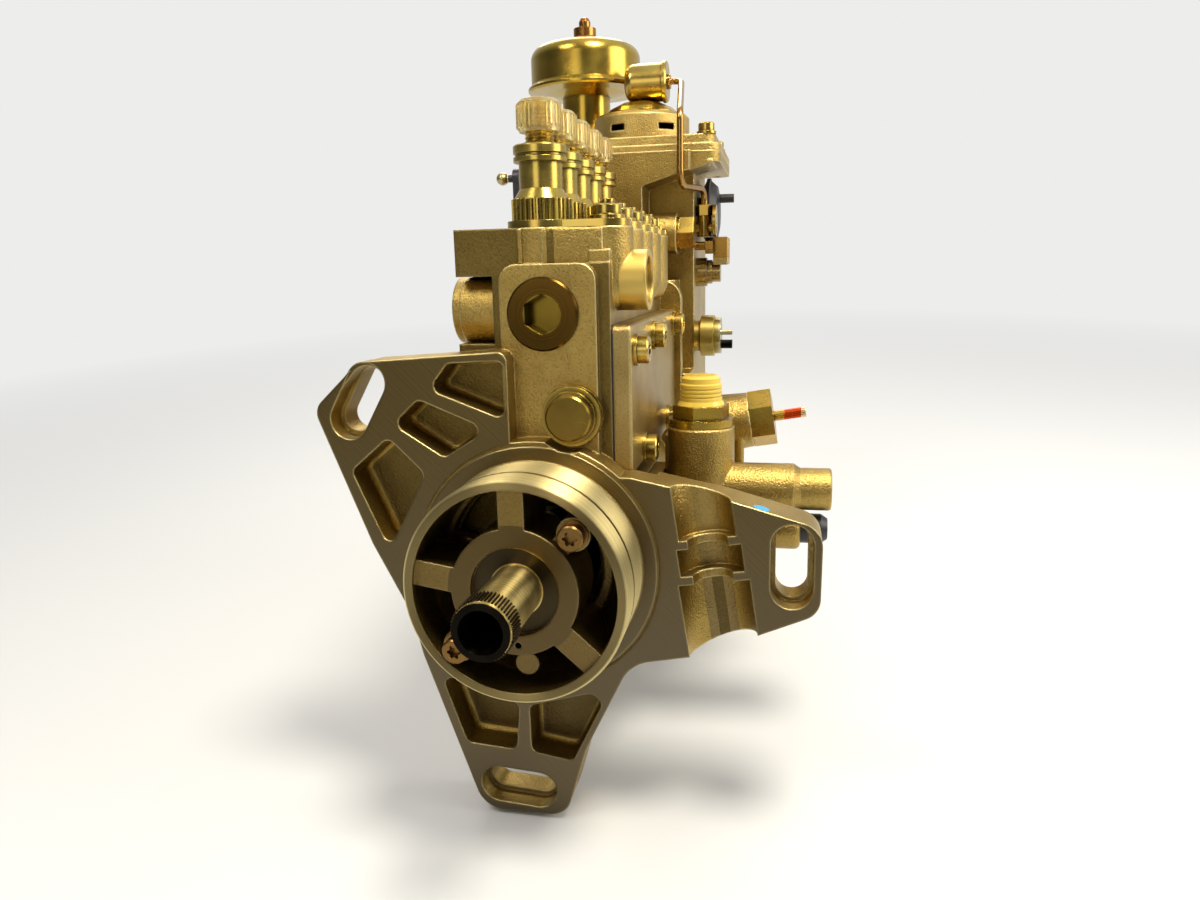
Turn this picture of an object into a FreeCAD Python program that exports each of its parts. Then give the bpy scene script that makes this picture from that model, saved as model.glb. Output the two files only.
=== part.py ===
import FreeCAD, Part
import math
import os

# In-line diesel injection pump. Millimetres, +X to the right seen from the drive end,
# +Y along the camshaft to the governor, +Z up, origin on the camshaft axis in the flange face.

V = FreeCAD.Vector
AXIS_X = V(1, 0, 0)
AXIS_Y = V(0, 1, 0)
AXIS_Z = V(0, 0, 1)

# Fits and gaps
running_gap = 0.04
sliding_gap = 0.03
seat_gap = 0.05
free_gap = 0.3

# Cylinder row
cyl_count = 5
cyl_pitch = 27.0
cyl_first_y = 29.0

# Pilot and hub at the drive end
pilot_r = 44.0
pilot_wall = 4.0
pilot_len = 32.0
pilot_seat_len = 18.0
ring_groove_width = 2.2
ring_groove_depth = 1.2
hub_r = 25.0
hub_setback = 2.0
hub_len = 26.0
hub_bore_r = 17.4
rib_width = 10.0
rib_angles = (90.0, 171.0, 318.0)
screw_boss_r = 6.5
screw_boss_inset = 11.0
screw_boss_angles = (45.0, 225.0)
floor_y = 2.0
floor_thick = 6.0
window_from = 22.0
window_to = 160.0
bowl_slope_r = 31.0
bowl_slope_y = -15.0
hub_pin_r = 1.3
hub_pin_z = -21.2

# Flange
flange_thick = 20.0
pocket_depth = 14.0
pocket_foot_r = 3.0
seat_ring_r = 50.5
seat_ring_groove = 0.6
slot_r = 8.2
slot_rear_r = 6.3
slot_step_y = 9.0
slot_len = 34.0
left_slot = (-73.2, 67.5, 60.0)
right_slot = (102.2, 4.4, 90.0)
bottom_slot = (-11.2, -100.7, -4.0)

# Outline of the flange and of its pockets: X, Z, corner radius
flange_outline = [
    (-8.8, 87.7, 4), (-71.5, 83.7, 7), (-93.0, 64.0, 7), (-71.1, 6.7, 40),
    (-55.5, -24.0, 25), (-51.5, -42.0, 15), (-27.5, -112.3, 12), (9.5, -112.3, 10),
    (19.0, -80.0, 30), (38.5, -40.0, 16), (66.0, -34.5, 20), (113.2, -14.0, 9),
    (113.6, 20.0, 10), (78.0, 30.2, 20), (39.7, 38.2, 0), (-8.8, 38.2, 0)]
pocket_outlines = [
    [(-33.4, 83.0, 3.6), (-9.6, 84.1, 3.6), (-10.1, 60.4, 3.6), (-41.9, 72.5, 3.6)],
    [(-46.7, 68.5, 3.6), (-21.3, 58.0, 3.6), (-22.6, 53.4, 3.4), (-36.8, 44.7, 3.6), (-58.2, 58.1, 3.6)],
    [(-60.9, 52.6, 3.6), (-45.6, 37.6, 4), (-55.7, 18.6, 4), (-63.5, 4.0, 3.4), (-78.3, 38.2, 4)],
    [(-44.4, -50.0, 3.4), (-33.8, -81.5, 3.6), (-11.4, -83.1, 3.6), (-9.4, -61.6, 3.6)],
    [(-5.1, -61.9, 3.6), (-4.9, -83.3, 3.6), (13.2, -86.1, 3.6), (26.9, -58.1, 3.6), (21.9, -54.2, 3.4)]]

# Half-round relief in the right arm
relief_x = 66.9
relief_z = 33.5
relief_tilt = 8.4
relief_upper_r = 11.2
relief_upper_len = 19.0
relief_neck_r = 7.9
relief_neck_len = 3.6
relief_middle_r = 12.6
relief_middle_len = 11.0
relief_lower_r = 14.0

# Body block
body_left = -33.0
body_right = 30.3
body_top = 135.0
body_front = 14.0
body_rear = 165.0
wall = 3.0
head_nose_r = 16.0
column_r = 10.4
column_bottom = 112.0
pad_left = 21.5
pad_right = 30.0
pad_front = 17.0
pad_top = 126.0
rear_plate_top = 112.0
rear_plate_thick = 7.0
chamber_outer_r = 38.0
chamber_r = 24.0
panel_left = -13.8
panel_right = 25.5
panel_top = 121.0
panel_front = 10.0
panel_corner_r = 7.0
lug_right = -4.6
lug_bottom = 116.5
recess_bottom = 89.5
recess_depth = 20.0

# Spring chamber behind the side cover
spring_room_left = -14.0
spring_room_bottom = 42.0
spring_room_top = 91.0
ledge_web_z = 55.0
ledge_web_thick = 3.0

# Camshaft
shaft_tip_y = -68.0
shaft_nose_r = 10.0
spline_r = 11.3
spline_root_r = 10.4
spline_teeth = 52
spline_len = 8.0
spline_setback = 2.0
nose_bore_r = 8.0
nose_bore_len = 36.0
collar_r = 17.3
collar_front = -27.0
collar_rear = -18.0
journal_r = 12.5
shaft_core_r = 9.0
cam_base_r = 10.0
cam_lift = 7.0
cam_nose_r = 4.5
cam_width = 12.0
cam_order = (0, 72, 288, 144, 216)
eccentric_r = 12.5
eccentric_throw = 3.0
eccentric_width = 9.0
shaft_end_y = 188.0
shaft_end_r = 8.0

# Camshaft bearings
bearing_r = 21.0
bearing_width = 12.0
bearing_ring = 2.6
bearing_rollers = 12
front_bearing_y = -16.0
rear_bearing_y = 152.0
retainer_thick = 3.0

# Tappets and plungers
tappet_r = 11.0
tappet_len = 13.0
tappet_skirt = 3.5
roller_r = 7.0
roller_width = 9.0
roller_pin_r = 3.0
cam_clear = 0.3
lower_seat_thick = 1.6
seat_lift = 0.6
plunger_r = 3.0
plunger_foot_r = 5.5
plunger_foot_thick = 2.5
plunger_top_z = 101.0
vane_half = 6.3
vane_thick = 2.6
vane_z = 47.2
vane_len = 4.0

# Barrels, sleeves and rack
barrel_neck_r = 5.0
barrel_mid_r = 8.0
barrel_r = 12.0
barrel_bottom_z = 60.0
barrel_mid_z = 76.0
barrel_shoulder_z = 97.0
sleeve_wall = 1.5
sleeve_bottom_z = 46.2
sleeve_top_z = 72.0
arm_z = 69.0
arm_width = 2.4
ball_r = 2.3
rack_x = 15.5
rack_z = 61.4
rack_r = 4.5
rack_flat = 1.0
rack_front_y = 10.0
rack_rear_y = 220.0
fork_gap = 0.35
fork_wall = 2.2
fork_top_z = 74.0

# Delivery valves
holder_thread_r = 9.0
holder_thread_bottom = 114.0
holder_spline_r = 12.35
holder_spline_root_r = 11.4
holder_teeth = 30
holder_spline_top = 146.6
holder_barrel_r = 8.8
holder_collar_r = 10.9
holder_collar_z = 161.0
holder_collar_top = 167.6
holder_neck_r = 6.0
holder_thread_pitch = 1.5
holder_thread_depth = 0.5
holder_thread_turns = 8
holder_top_z = 183.0
holder_room_r = 5.0
holder_room_top = 150.0
holder_bore_r = 1.6
valve_head_r = 4.4
valve_stem_r = 2.9
valve_seat_z = 118.0
cap_r = 9.2
cap_wall = 1.1
cap_ribs = 28
cap_rib_height = 0.5
cap_grip = 2.6
cap_bottom_z = 172.6
cap_top_z = 184.8

# Springs
plunger_spring_r = 8.3
plunger_spring_wire = 1.2
plunger_spring_turns = 4.5
valve_spring_r = 3.6
valve_spring_wire = 0.6
valve_spring_turns = 6.0
feed_spring_r = 3.9
feed_spring_wire = 0.8
feed_spring_turns = 4.5

# Gallery, plug, cap and ports
gallery_x = 4.0
gallery_z = 101.4
gallery_r = 9.0
plug_thread_r = 11.0
plug_head_r = 14.6
plug_head_thick = 1.8
plug_thread_len = 6.5
plug_hex = 14.0
plug_hex_depth = 8.0
rack_cap_base_r = 12.4
rack_cap_recess_r = 13.8
rack_cap_step_r = 11.2
rack_cap_r = 9.2
inlet_y = 32.0
inlet_z = 113.8
inlet_boss_r = 12.2
inlet_end_x = 43.5
inlet_mouth_r = 9.6
inlet_thread_r = 8.2
inlet_depth = 14.0
return_y = 32.0
return_z = 102.5
return_boss_r = 13.8
return_end_x = -37.0
return_thread_r = 7.0
return_depth = 12.0

# Side cover
cover_gasket = 0.8
cover_thick = 7.2
cover_hollow = 4.0
cover_rim_width = 14.0
cover_edge = 0.8
cover_room = 10.0
cover_front = 14.5
cover_rear = 158.0
cover_bottom = 35.6
cover_top = 96.5
cover_corner_r = 3.0
cover_screws = ((25.0, 86.0), (76.0, 88.0), (150.0, 89.0), (46.0, 41.5), (126.0, 41.5))
screw_r = 2.9
cover_screw_head_r = 5.6
retainer_screw_head_r = 5.0
lid_screw_head_r = 4.4
screw_head_len = 4.6
screw_flange_step = 0.9
screw_flange_thick = 1.4
screw_socket_depth = 2.6
screw_grip = 16.0

# Element plate
plate_thick = 3.0
plate_round_r = 14.2
plate_tab_r = 9.6
nut_x = 27.0
nut_r = 6.0
nut_flange_r = 7.2
nut_flange_thick = 1.6
nut_len = 6.0
stud_r = 3.0
stud_depth = 11.0
stud_end = 2.0

# Governor housing
gov_left = -45.0
gov_right = 46.0
gov_bottom = -84.0
gov_top = 175.0
gov_rear = 262.0
gov_wall = 4.5
gov_corner_r = 16.0
rim_right = 62.0
rim_thick = 6.0
rim_left = -50.0
rim_front = 170.0
flare_root_z = 163.0
flare_tip_z = 174.4
flare_tip_x = 58.0
flare_rear = 204.0
bay_left = 20.0
bay_bottom = 112.0
step_right = 37.5
step_rear = 190.0
step_bottom = 60.0
valve_boss_r = 11.2
valve_boss_end = 38.2
rear_cover_thick = 5.0
rear_cover_bulge = 7.0

# Governor lid, turret and dome
lid_step = 9.0
lid_setback = 3.0
turret_x = 11.5
turret_y = 222.0
turret_r = 28.5
turret_wall = 2.5
turret_top = 208.0
vent_width = 8.0
vent_height = 3.6
vent_drop = 9.0
vent_offsets = (-10.0, 17.5)
dome_r = 22.0
dome_top_r = 12.0
dome_rise = 7.4

# Vacuum and altitude units
idle_unit_y = 218.0
idle_unit_lift = 11.0
idle_unit_r = 10.8
idle_unit_round = 5.0
idle_unit_left = 2.9
idle_unit_right = 28.0
pipe_r = 1.8
pipe_bend_r = 7.0
pipe_front_y = 162.0
pipe_front_x = 41.4
can_x = -27.5
can_y = 246.0
can_r = 36.4
can_bottom = 228.0
can_top = 255.0
can_bead = 2.2
can_round = 8.0
can_skin = 1.6
neck_r = 15.0
adjuster_hex = 13.0
adjuster_hex_len = 6.0
adjuster_washer_r = 7.0
adjuster_washer_len = 5.0
tip_r = 3.6
tip_top = 273.0

# Shut-off unit, switch and fittings on the right wall
shutoff_y = 228.0
shutoff_z = 151.5
shutoff_r = 20.0
shutoff_thick = 12.0
shutoff_floor = 4.0
shutoff_skin = 1.4
shutoff_plate = 1.0
switch_y = 196.0
switch_z = 79.0
switch_r = 12.0
switch_len = 15.5
union_y = 198.0
union_reach = 5.2
union_z = 141.0
union_hex = 8.5
union_r = 4.0
union_disc_r = 9.0
hex_valve_y = 177.0
hex_valve_z = 137.6
hex_valve_across = 17.0
hex_valve_len = 8.0
hex_valve_shank_r = 6.9
hex_valve_shank_len = 11.0

# Throttle lever
throttle_y = 230.0
throttle_z = 142.0
throttle_shaft_r = 5.0
throttle_arm = 35.0
throttle_x = -72.0
throttle_thick = 4.0

# Governor weights and lever
weight_pivot_r = 17.0
weight_pivot_y = 178.0
weight_thick = 10.0
weight_outer_r = 33.0
weight_len = 18.0
hub_front_y = 168.0
hub_plate_thick = 4.0
gov_sleeve_r = 11.0
gov_sleeve_len = 14.0
lever_y = 217.0
lever_pivot_z = -45.0
lever_shaft_r = 4.0
lever_x = 21.0
lever_thick = 4.0
lever_pin_r = 2.5

# Feed pump
feed_y = cyl_first_y + 1.5 * cyl_pitch
feed_flange_thick = 6.0
feed_root_r = 13.0
feed_root_end = 80.0
feed_barrel_r = 9.8
feed_barrel_end = 106.5
feed_barrel_round = 2.6
feed_end_plug_r = 6.8
feed_end_plug_len = 12.0
feed_bore_r = 6.4
feed_piston_x = 66.0
feed_piston_len = 14.0
feed_travel = 6.0
feed_rod_r = 4.0
chamber_x = 61.0
feed_tower_r = 15.3
feed_tower_top = 47.6
feed_tower_bore_r = 8.0
feed_collar_r = 14.8
feed_collar_thick = 3.4
feed_hex = 23.0
feed_hex_len = 6.6
feed_plug_r = 9.6
feed_plug_top = 70.5
port_z = 18.5
port_r = 11.5
port_step_x = 103.0
port_end_r = 9.6
port_end_x = 119.8
port_bore_r = 6.0
port_bore_len = 16.0
side_unit_y = 106.0
side_unit_z = 39.0
side_unit_x = 50.0
side_unit_len = 33.0
side_unit_r = 14.4
side_unit_tilt = 9.0
side_hex = 24.0
side_hex_len = 11.0
stem_r = 2.5
stem_len = 16.0
clamp_wall = 1.2

# Places that follow from the sizes above
cyl_y = [cyl_first_y + i * cyl_pitch for i in range(cyl_count)]
hub_front = -pilot_len + hub_setback
hub_rear = hub_front + hub_len
cam_nose_reach = cam_base_r + cam_lift
roller_z = cam_nose_reach + cam_clear + roller_r
tappet_bottom_z = roller_z - tappet_skirt
tappet_top_z = tappet_bottom_z + tappet_len
plunger_foot_z = tappet_top_z + seat_gap
cover_inner_x = body_right + cover_gasket
cover_outer_x = cover_inner_x + cover_thick
plate_top = body_top + plate_thick
sleeve_bore_r = barrel_neck_r + running_gap
sleeve_r = sleeve_bore_r + sleeve_wall
arm_len = rack_x
clamp_left = rack_x - rack_r - clamp_wall
ledge_web_right = clamp_left - free_gap
screw_boss_pitch_r = pilot_r - screw_boss_inset
retainer_r = hub_r - 1
lid_bottom = gov_top + rim_thick
lid_top = lid_bottom + lid_step
vent_z = turret_top - vent_drop
dome_top = turret_top + dome_rise
idle_unit_z = dome_top + idle_unit_lift
union_x = gov_right + union_reach
lid_screws = ((rim_left + 7, rim_front + 8), (rim_right - 8, rim_front + 8),
              (rim_right - 8, gov_rear - 7), (turret_x - 17.5, gov_rear - 5))


def rod(r, length, start, axis):
    return Part.makeCylinder(r, length, start, axis)


def ring(r_out, r_in, length, start, axis):
    return rod(r_out, length, start, axis).cut(rod(r_in, length, start, axis))


def block(x0, x1, y0, y1, z0, z1):
    return Part.makeBox(x1 - x0, y1 - y0, z1 - z0, V(x0, y0, z0))


def fused(shapes):
    whole = shapes[0].multiFuse(shapes[1:]) if len(shapes) > 1 else shapes[0]
    return whole.removeSplitter()


def drilled(shape, tools):
    return shape.cut(tools) if tools else shape


def turned_about(axis, start):
    turn = FreeCAD.Rotation(AXIS_Z, axis)
    return FreeCAD.Placement(start, turn)


def turned(profile, start, axis):
    # profile: (radius, distance along the axis) points, closed along the axis
    points = [V(r, 0, h) for r, h in profile]
    points = points + [points[0]]
    face = Part.Face(Part.makePolygon(points))
    solid = face.revolve(V(0, 0, 0), AXIS_Z, 360)
    solid.Placement = turned_about(axis, start)
    return solid


def circle_edges(shape, r, centre):
    # whole circles of this radius about this centre
    found = []
    for edge in shape.Edges:
        if edge.Closed and hasattr(edge.Curve, "Radius"):
            same_r = abs(edge.Curve.Radius - r) < 0.01
            if same_r and edge.Curve.Center.distanceToPoint(centre) < 0.01:
                found.append(edge)
    return found


def hexagon(across, length, start, axis, spin=0):
    corner = across / math.sqrt(3)
    points = []
    for i in range(7):
        angle = math.radians(60 * i + spin)
        points.append(V(corner * math.cos(angle), corner * math.sin(angle), 0))
    solid = Part.Face(Part.makePolygon(points)).extrude(V(0, 0, length))
    solid.Placement = turned_about(axis, start)
    return solid


def toothed(tip_r, root_r, count, length, start, axis):
    # straight fine teeth with flat tips and flat roots
    points = []
    step = 2 * math.pi / count
    for i in range(count):
        for share, r in ((-0.36, root_r), (-0.14, tip_r), (0.14, tip_r), (0.36, root_r)):
            angle = (i + share) * step
            points.append(V(r * math.cos(angle), r * math.sin(angle), 0))
    points.append(points[0])
    solid = Part.Face(Part.makePolygon(points)).extrude(V(0, 0, length))
    solid.Placement = turned_about(axis, start)
    return solid


def rounded_face(corners, place):
    # corners: (a, b, radius); place maps (a, b) to a point in space
    count = len(corners)
    edges = []
    last = None
    first = None
    for i in range(count):
        a, b, r = corners[i]
        before = corners[i - 1]
        after = corners[(i + 1) % count]
        here = V(a, b, 0)
        into = V(before[0], before[1], 0) - here
        out = V(after[0], after[1], 0) - here
        half = into.getAngle(out) / 2
        into.normalize()
        out.normalize()
        if r > 0:
            reach = r / math.tan(half)
            middle = into + out
            middle.normalize()
            centre = here + middle * (r / math.sin(half))
            start = here + into * reach
            end = here + out * reach
            mid = centre - middle * r
        else:
            start = here
            end = here
            mid = here
        if last is not None and last.distanceToPoint(start) > 1e-6:
            edges.append(Part.makeLine(place(last), place(start)))
        if r > 0:
            edges.append(Part.Arc(place(start), place(mid), place(end)).toShape())
        if first is None:
            first = start
        last = end
    if last.distanceToPoint(first) > 1e-6:
        edges.append(Part.makeLine(place(last), place(first)))
    return Part.Face(Part.Wire(edges))


def front_prism(corners, y0, y1):
    # outline in X and Z, drawn along Y
    face = rounded_face(corners, lambda p: V(p.x, y0, p.y))
    return face.extrude(V(0, y1 - y0, 0))


def side_prism(corners, x0, x1):
    # outline in Y and Z, drawn along X
    face = rounded_face(corners, lambda p: V(x0, p.x, p.y))
    return face.extrude(V(x1 - x0, 0, 0))


def plan_prism(corners, z0, z1):
    # outline in X and Y, drawn along Z
    face = rounded_face(corners, lambda p: V(p.x, p.y, z0))
    return face.extrude(V(0, 0, z1 - z0))


def rectangle(a0, a1, b0, b1, r):
    return [(a0, b0, r), (a1, b0, r), (a1, b1, r), (a0, b1, r)]


def polar(r, degrees, y):
    angle = math.radians(degrees)
    return V(r * math.cos(angle), y, r * math.sin(angle))


def spring(mean_r, wire_r, length, turns, start, axis):
    # six-sided wire on a helix, its ends ground to the length
    pitch = (length - 2 * wire_r) / turns
    path = Part.Wire(Part.makeHelix(pitch, pitch * turns, mean_r).Edges)
    points = []
    for i in range(7):
        angle = math.radians(60 * i)
        points.append(V(mean_r + wire_r * math.cos(angle), 0, wire_r * math.sin(angle)))
    coil = path.makePipeShell([Part.makePolygon(points)], True, True)
    coil.translate(V(0, 0, wire_r))
    coil.Placement = turned_about(axis, start).multiply(coil.Placement)
    return coil


def torx_screw(grip, head_r, start, axis):
    # start is the seat of the head, axis points out of the head
    head = screw_flange_thick + screw_head_len
    flange_r = head_r + screw_flange_step
    profile = [(0, -grip), (screw_r, -grip), (screw_r, 0), (flange_r, 0),
               (flange_r, screw_flange_thick), (head_r, screw_flange_thick),
               (head_r, head - 0.6), (head_r - 0.6, head), (0, head)]
    body = turned(profile, start, axis)
    socket_start = start + axis * (head - screw_socket_depth)
    socket = toothed(head_r * 0.56, head_r * 0.4, 6, screw_socket_depth + 1, socket_start, axis)
    return body.cut(socket)


def save(name, shapes):
    whole = shapes[0] if len(shapes) == 1 else Part.makeCompound(shapes)
    whole.exportStep("parts/" + name + ".step")


def flange_slab():
    return front_prism(flange_outline, 0, flange_thick)


def flange_pockets():
    # front-open pockets of the left and bottom arms, rounded at their foot
    tools = []
    for outline in pocket_outlines:
        tool = front_prism(outline, 0, pocket_depth)
        foot = [e for e in tool.Edges if min(v.Y for v in e.Vertexes) > pocket_depth - 0.01]
        tools.append(tool.makeFillet(pocket_foot_r, foot))
    return tools


def flange_slot(slot):
    # one bolt slot, wider at the front than behind its step
    x, z, degrees = slot
    cuts = []
    for r, y0, y1 in ((slot_r, 0, slot_step_y), (slot_rear_r, slot_step_y, flange_thick)):
        half = slot_len / 2 - slot_r
        bar = block(-half, half, y0, y1, -r, r)
        ends = [rod(r, y1 - y0, V(side * half, y0, 0), AXIS_Y) for side in (-1, 1)]
        shape = fused([bar] + ends)
        shape.rotate(V(0, 0, 0), AXIS_Y, -degrees)
        shape.translate(V(x, 0, z))
        cuts.append(shape)
    return fused(cuts)


def arm_relief():
    # stepped half-round relief across the right arm, its axis in the flange face
    levels = [(relief_upper_r, relief_upper_len), (relief_neck_r, relief_neck_len),
              (relief_middle_r, relief_middle_len), (relief_neck_r, relief_neck_len),
              (relief_lower_r, 60.0)]
    profile = [(0, 8.0), (relief_upper_r, 8.0)]
    depth = 0
    for r, length in levels:
        profile.append((r, depth))
        depth = depth - length
        profile.append((r, depth))
    profile = [p for i, p in enumerate(profile) if i != 2]
    profile.append((0, depth))
    tilt = math.radians(relief_tilt)
    up = V(-math.sin(tilt), 0, math.cos(tilt))
    return turned(profile, V(relief_x, 0, relief_z), up)


def pilot_and_hub():
    groove_rear = -pilot_seat_len
    groove_front = groove_rear - ring_groove_width
    groove_r = pilot_r - ring_groove_depth
    inner_r = pilot_r - pilot_wall
    profile = [(inner_r, -pilot_len), (pilot_r - 1.0, -pilot_len), (pilot_r, -pilot_len + 1.0),
               (pilot_r, groove_front), (groove_r, groove_front), (groove_r, groove_rear),
               (pilot_r, groove_rear), (pilot_r, 1.0), (inner_r, 1.0)]
    pilot = turned(profile, V(0, 0, 0), AXIS_Y)
    hub = rod(hub_r, hub_len, V(0, hub_front, 0), AXIS_Y)
    ribs = []
    for degrees in rib_angles:
        rib = block(hub_r - 3, inner_r + 1, hub_front, floor_y + 1, -rib_width / 2, rib_width / 2)
        rib.rotate(V(0, 0, 0), AXIS_Y, -degrees)
        ribs.append(rib)
    bosses = []
    for degrees in screw_boss_angles:
        start = polar(screw_boss_pitch_r, degrees, hub_front + 1)
        boss = rod(screw_boss_r, hub_len - 1, start, AXIS_Y)
        web = block(hub_r - 3, screw_boss_pitch_r, hub_front + 4, hub_rear, -4, 4)
        web.rotate(V(0, 0, 0), AXIS_Y, -degrees)
        bosses.append(boss)
        bosses.append(web)
    button = rod(4.6, 12, polar(29.2, 277.0, hub_front + 2), AXIS_Y)
    floor_ring = ring(inner_r + 1, hub_r + 3, floor_thick, V(0, floor_y, 0), AXIS_Y)
    return [pilot, hub, floor_ring, button, bowl_slope(inner_r)] + ribs + bosses


def bowl_slope(inner_r):
    # cast slope from the pilot's wall down to the floor, open at the upper windows
    profile = [(inner_r + 1, bowl_slope_y), (inner_r + 1, floor_y + 1), (bowl_slope_r, floor_y + 1)]
    slope = turned(profile, V(0, 0, 0), AXIS_Y)
    cuts = [sector(pilot_r, window_from, window_to, bowl_slope_y - 1, floor_y + 2)]
    for degrees in screw_boss_angles:
        start = polar(screw_boss_pitch_r, degrees, -pilot_len)
        cuts.append(rod(screw_boss_r + free_gap, pilot_len, start, AXIS_Y))
    return slope.cut(cuts)


def sector(r, degrees_from, degrees_to, y0, y1):
    # wedge about the camshaft axis
    points = [V(0, y0, 0)]
    steps = 6
    for i in range(steps + 1):
        degrees = degrees_from + (degrees_to - degrees_from) * i / steps
        points.append(polar(r * 1.3, degrees, y0))
    points.append(points[0])
    wedge = Part.Face(Part.makePolygon(points)).extrude(V(0, y1 - y0, 0))
    return wedge.common(rod(r, y1 - y0, V(0, y0, 0), AXIS_Y))


def body_solids():
    block_main = block(body_left, body_right, body_front, body_rear, 0, panel_top)
    chamber = rod(chamber_outer_r, body_rear, V(0, 0, 0), AXIS_Y)
    panel = front_prism(rectangle(panel_left, panel_right, 20.0, panel_top, panel_corner_r),
                        panel_front, body_front + 1)
    inlet_boss = rod(inlet_boss_r, inlet_end_x - body_right + 4, V(body_right - 4, inlet_y, inlet_z), AXIS_X)
    return_boss = rod(return_boss_r, panel_left - return_end_x, V(return_end_x, return_y, return_z), AXIS_X)
    feed_pad = side_prism(rectangle(feed_y - 25, feed_y + 25, -21, 27, 8), 20, chamber_outer_r)
    rear_plate = front_prism(rectangle(gov_left + 3, gov_right - 4, -44, rear_plate_top, 10),
                             body_rear - rear_plate_thick, body_rear)
    return [block_main, chamber, panel, inlet_boss, return_boss, feed_pad, rear_plate] + head_solids()


def head_solids():
    # lug at the left, rounded front of the head and the stud columns down its right side
    low = panel_top - 1
    shapes = [block(body_left, lug_right, body_front, cyl_first_y + 1, lug_bottom, body_top),
              block(body_left, body_right, cyl_first_y, body_rear, low, body_top),
              rod(head_nose_r, body_top - low, V(0, cyl_first_y, low), AXIS_Z),
              block(pad_left, pad_right, pad_front, cyl_first_y, inlet_z, pad_top)]
    for y in cyl_y:
        shapes.append(rod(column_r, body_top - column_bottom, V(nut_x, y, column_bottom), AXIS_Z))
        shapes.append(Part.makeSphere(column_r, V(nut_x, y, column_bottom)))
    return shapes


def body_cuts():
    length = body_rear + 10
    front_wall = body_front + wall
    room_rear = rear_bearing_y - 2
    cuts = []
    recess = block(body_left - 1, panel_left - 4, body_front - 1, body_front + recess_depth,
                   recess_bottom, lug_bottom)
    boss_len = panel_left - return_end_x
    cuts.append(recess.cut(rod(return_boss_r, boss_len, V(return_end_x, return_y, return_z), AXIS_X)))
    cuts.append(rod(chamber_r, room_rear - floor_y - floor_thick, V(0, floor_y + floor_thick, 0), AXIS_Y))
    cuts.append(rod(pilot_r - pilot_wall - 3, 6, V(0, floor_y + floor_thick, 0), AXIS_Y))
    cuts.append(rod(hub_r + 3, floor_thick + 2, V(0, floor_y - 1, 0), AXIS_Y))
    cuts.append(sector(pilot_r - pilot_wall - 2, window_from, window_to, floor_y - 1,
                       floor_y + floor_thick + 1))
    cuts.append(rod(hub_bore_r, hub_len + 4, V(0, hub_front - 1, 0), AXIS_Y))
    cuts.append(rod(bearing_r + seat_gap, hub_rear - front_bearing_y + 1, V(0, front_bearing_y, 0), AXIS_Y))
    cuts.append(rod(bearing_r + seat_gap, body_rear - rear_bearing_y + 1, V(0, rear_bearing_y, 0), AXIS_Y))
    cuts.append(rod(journal_r + 2, length, V(0, room_rear - 1, 0), AXIS_Y))
    room = block(spring_room_left, body_right + 1, front_wall, room_rear, spring_room_bottom, spring_room_top)
    web = block(spring_room_left - 1, ledge_web_right, front_wall - 1, room_rear + 1,
                ledge_web_z, ledge_web_z + ledge_web_thick)
    cuts.append(room.cut(web))
    for y in cyl_y:
        cuts.append(rod(tappet_r + sliding_gap, spring_room_bottom - 8, V(0, y, 9), AXIS_Z))
        cuts.append(rod(sleeve_r + 0.4, ledge_web_thick + 2, V(0, y, ledge_web_z - 1), AXIS_Z))
        cuts.append(rod(barrel_mid_r + seat_gap, 20, V(0, y, spring_room_top - 1), AXIS_Z))
        cuts.append(rod(barrel_r + seat_gap, body_top - barrel_shoulder_z + 1,
                        V(0, y, barrel_shoulder_z), AXIS_Z))
        cuts.append(rod(stud_r, stud_depth + 1, V(nut_x, y, body_top - stud_depth), AXIS_Z))
    cuts.append(rod(gallery_r, room_rear - front_wall, V(gallery_x, front_wall - 2, gallery_z), AXIS_Y))
    cuts.append(rod(plug_thread_r, plug_thread_len + 1 + seat_gap,
                    V(gallery_x, panel_front - 1, gallery_z), AXIS_Y))
    cuts.append(rod(rack_r + running_gap, length, V(rack_x, panel_front - 1, rack_z), AXIS_Y))
    for degrees in screw_boss_angles:
        cuts.append(rod(screw_r, hub_len + 4, polar(screw_boss_pitch_r, degrees, hub_front - 1), AXIS_Y))
    cuts.append(rod(hub_pin_r, 10, V(0.8, hub_front - 1, hub_pin_z), AXIS_Y))
    for y, z in cover_screws:
        cuts.append(rod(screw_r, 12, V(body_right - 11, y, z), AXIS_X))
    cuts.append(rod(inlet_mouth_r, 3, V(inlet_end_x - 3, inlet_y, inlet_z), AXIS_X))
    cuts.append(rod(inlet_thread_r, inlet_depth, V(inlet_end_x - 3 - inlet_depth, inlet_y, inlet_z), AXIS_X))
    cuts.append(rod(return_thread_r, return_depth, V(return_end_x, return_y, return_z), AXIS_X))
    cuts.append(rod(2.5, 60, V(return_end_x + 2, return_y, return_z), AXIS_X))
    cuts.append(rod(2.5, inlet_end_x, V(6, inlet_y, inlet_z), AXIS_X))
    cuts.append(rod(rack_cap_recess_r, panel_front + 1, V(rack_x, -1, rack_z), AXIS_Y))
    cuts.append(rod(retainer_r + free_gap, floor_y - hub_rear + 1, V(0, hub_rear, 0), AXIS_Y))
    cuts.append(block(body_right, cover_outer_x + cover_room, cover_front - free_gap, flange_thick + 2,
                      cover_bottom - free_gap, cover_top + free_gap))
    cuts.append(rod(feed_rod_r + 2, 30, V(chamber_outer_r - 20, feed_y, 0), AXIS_X))
    cuts.append(ring(seat_ring_r + 0.5, seat_ring_r - 0.5, seat_ring_groove, V(0, 0, 0), AXIS_Y))
    return cuts


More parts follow.
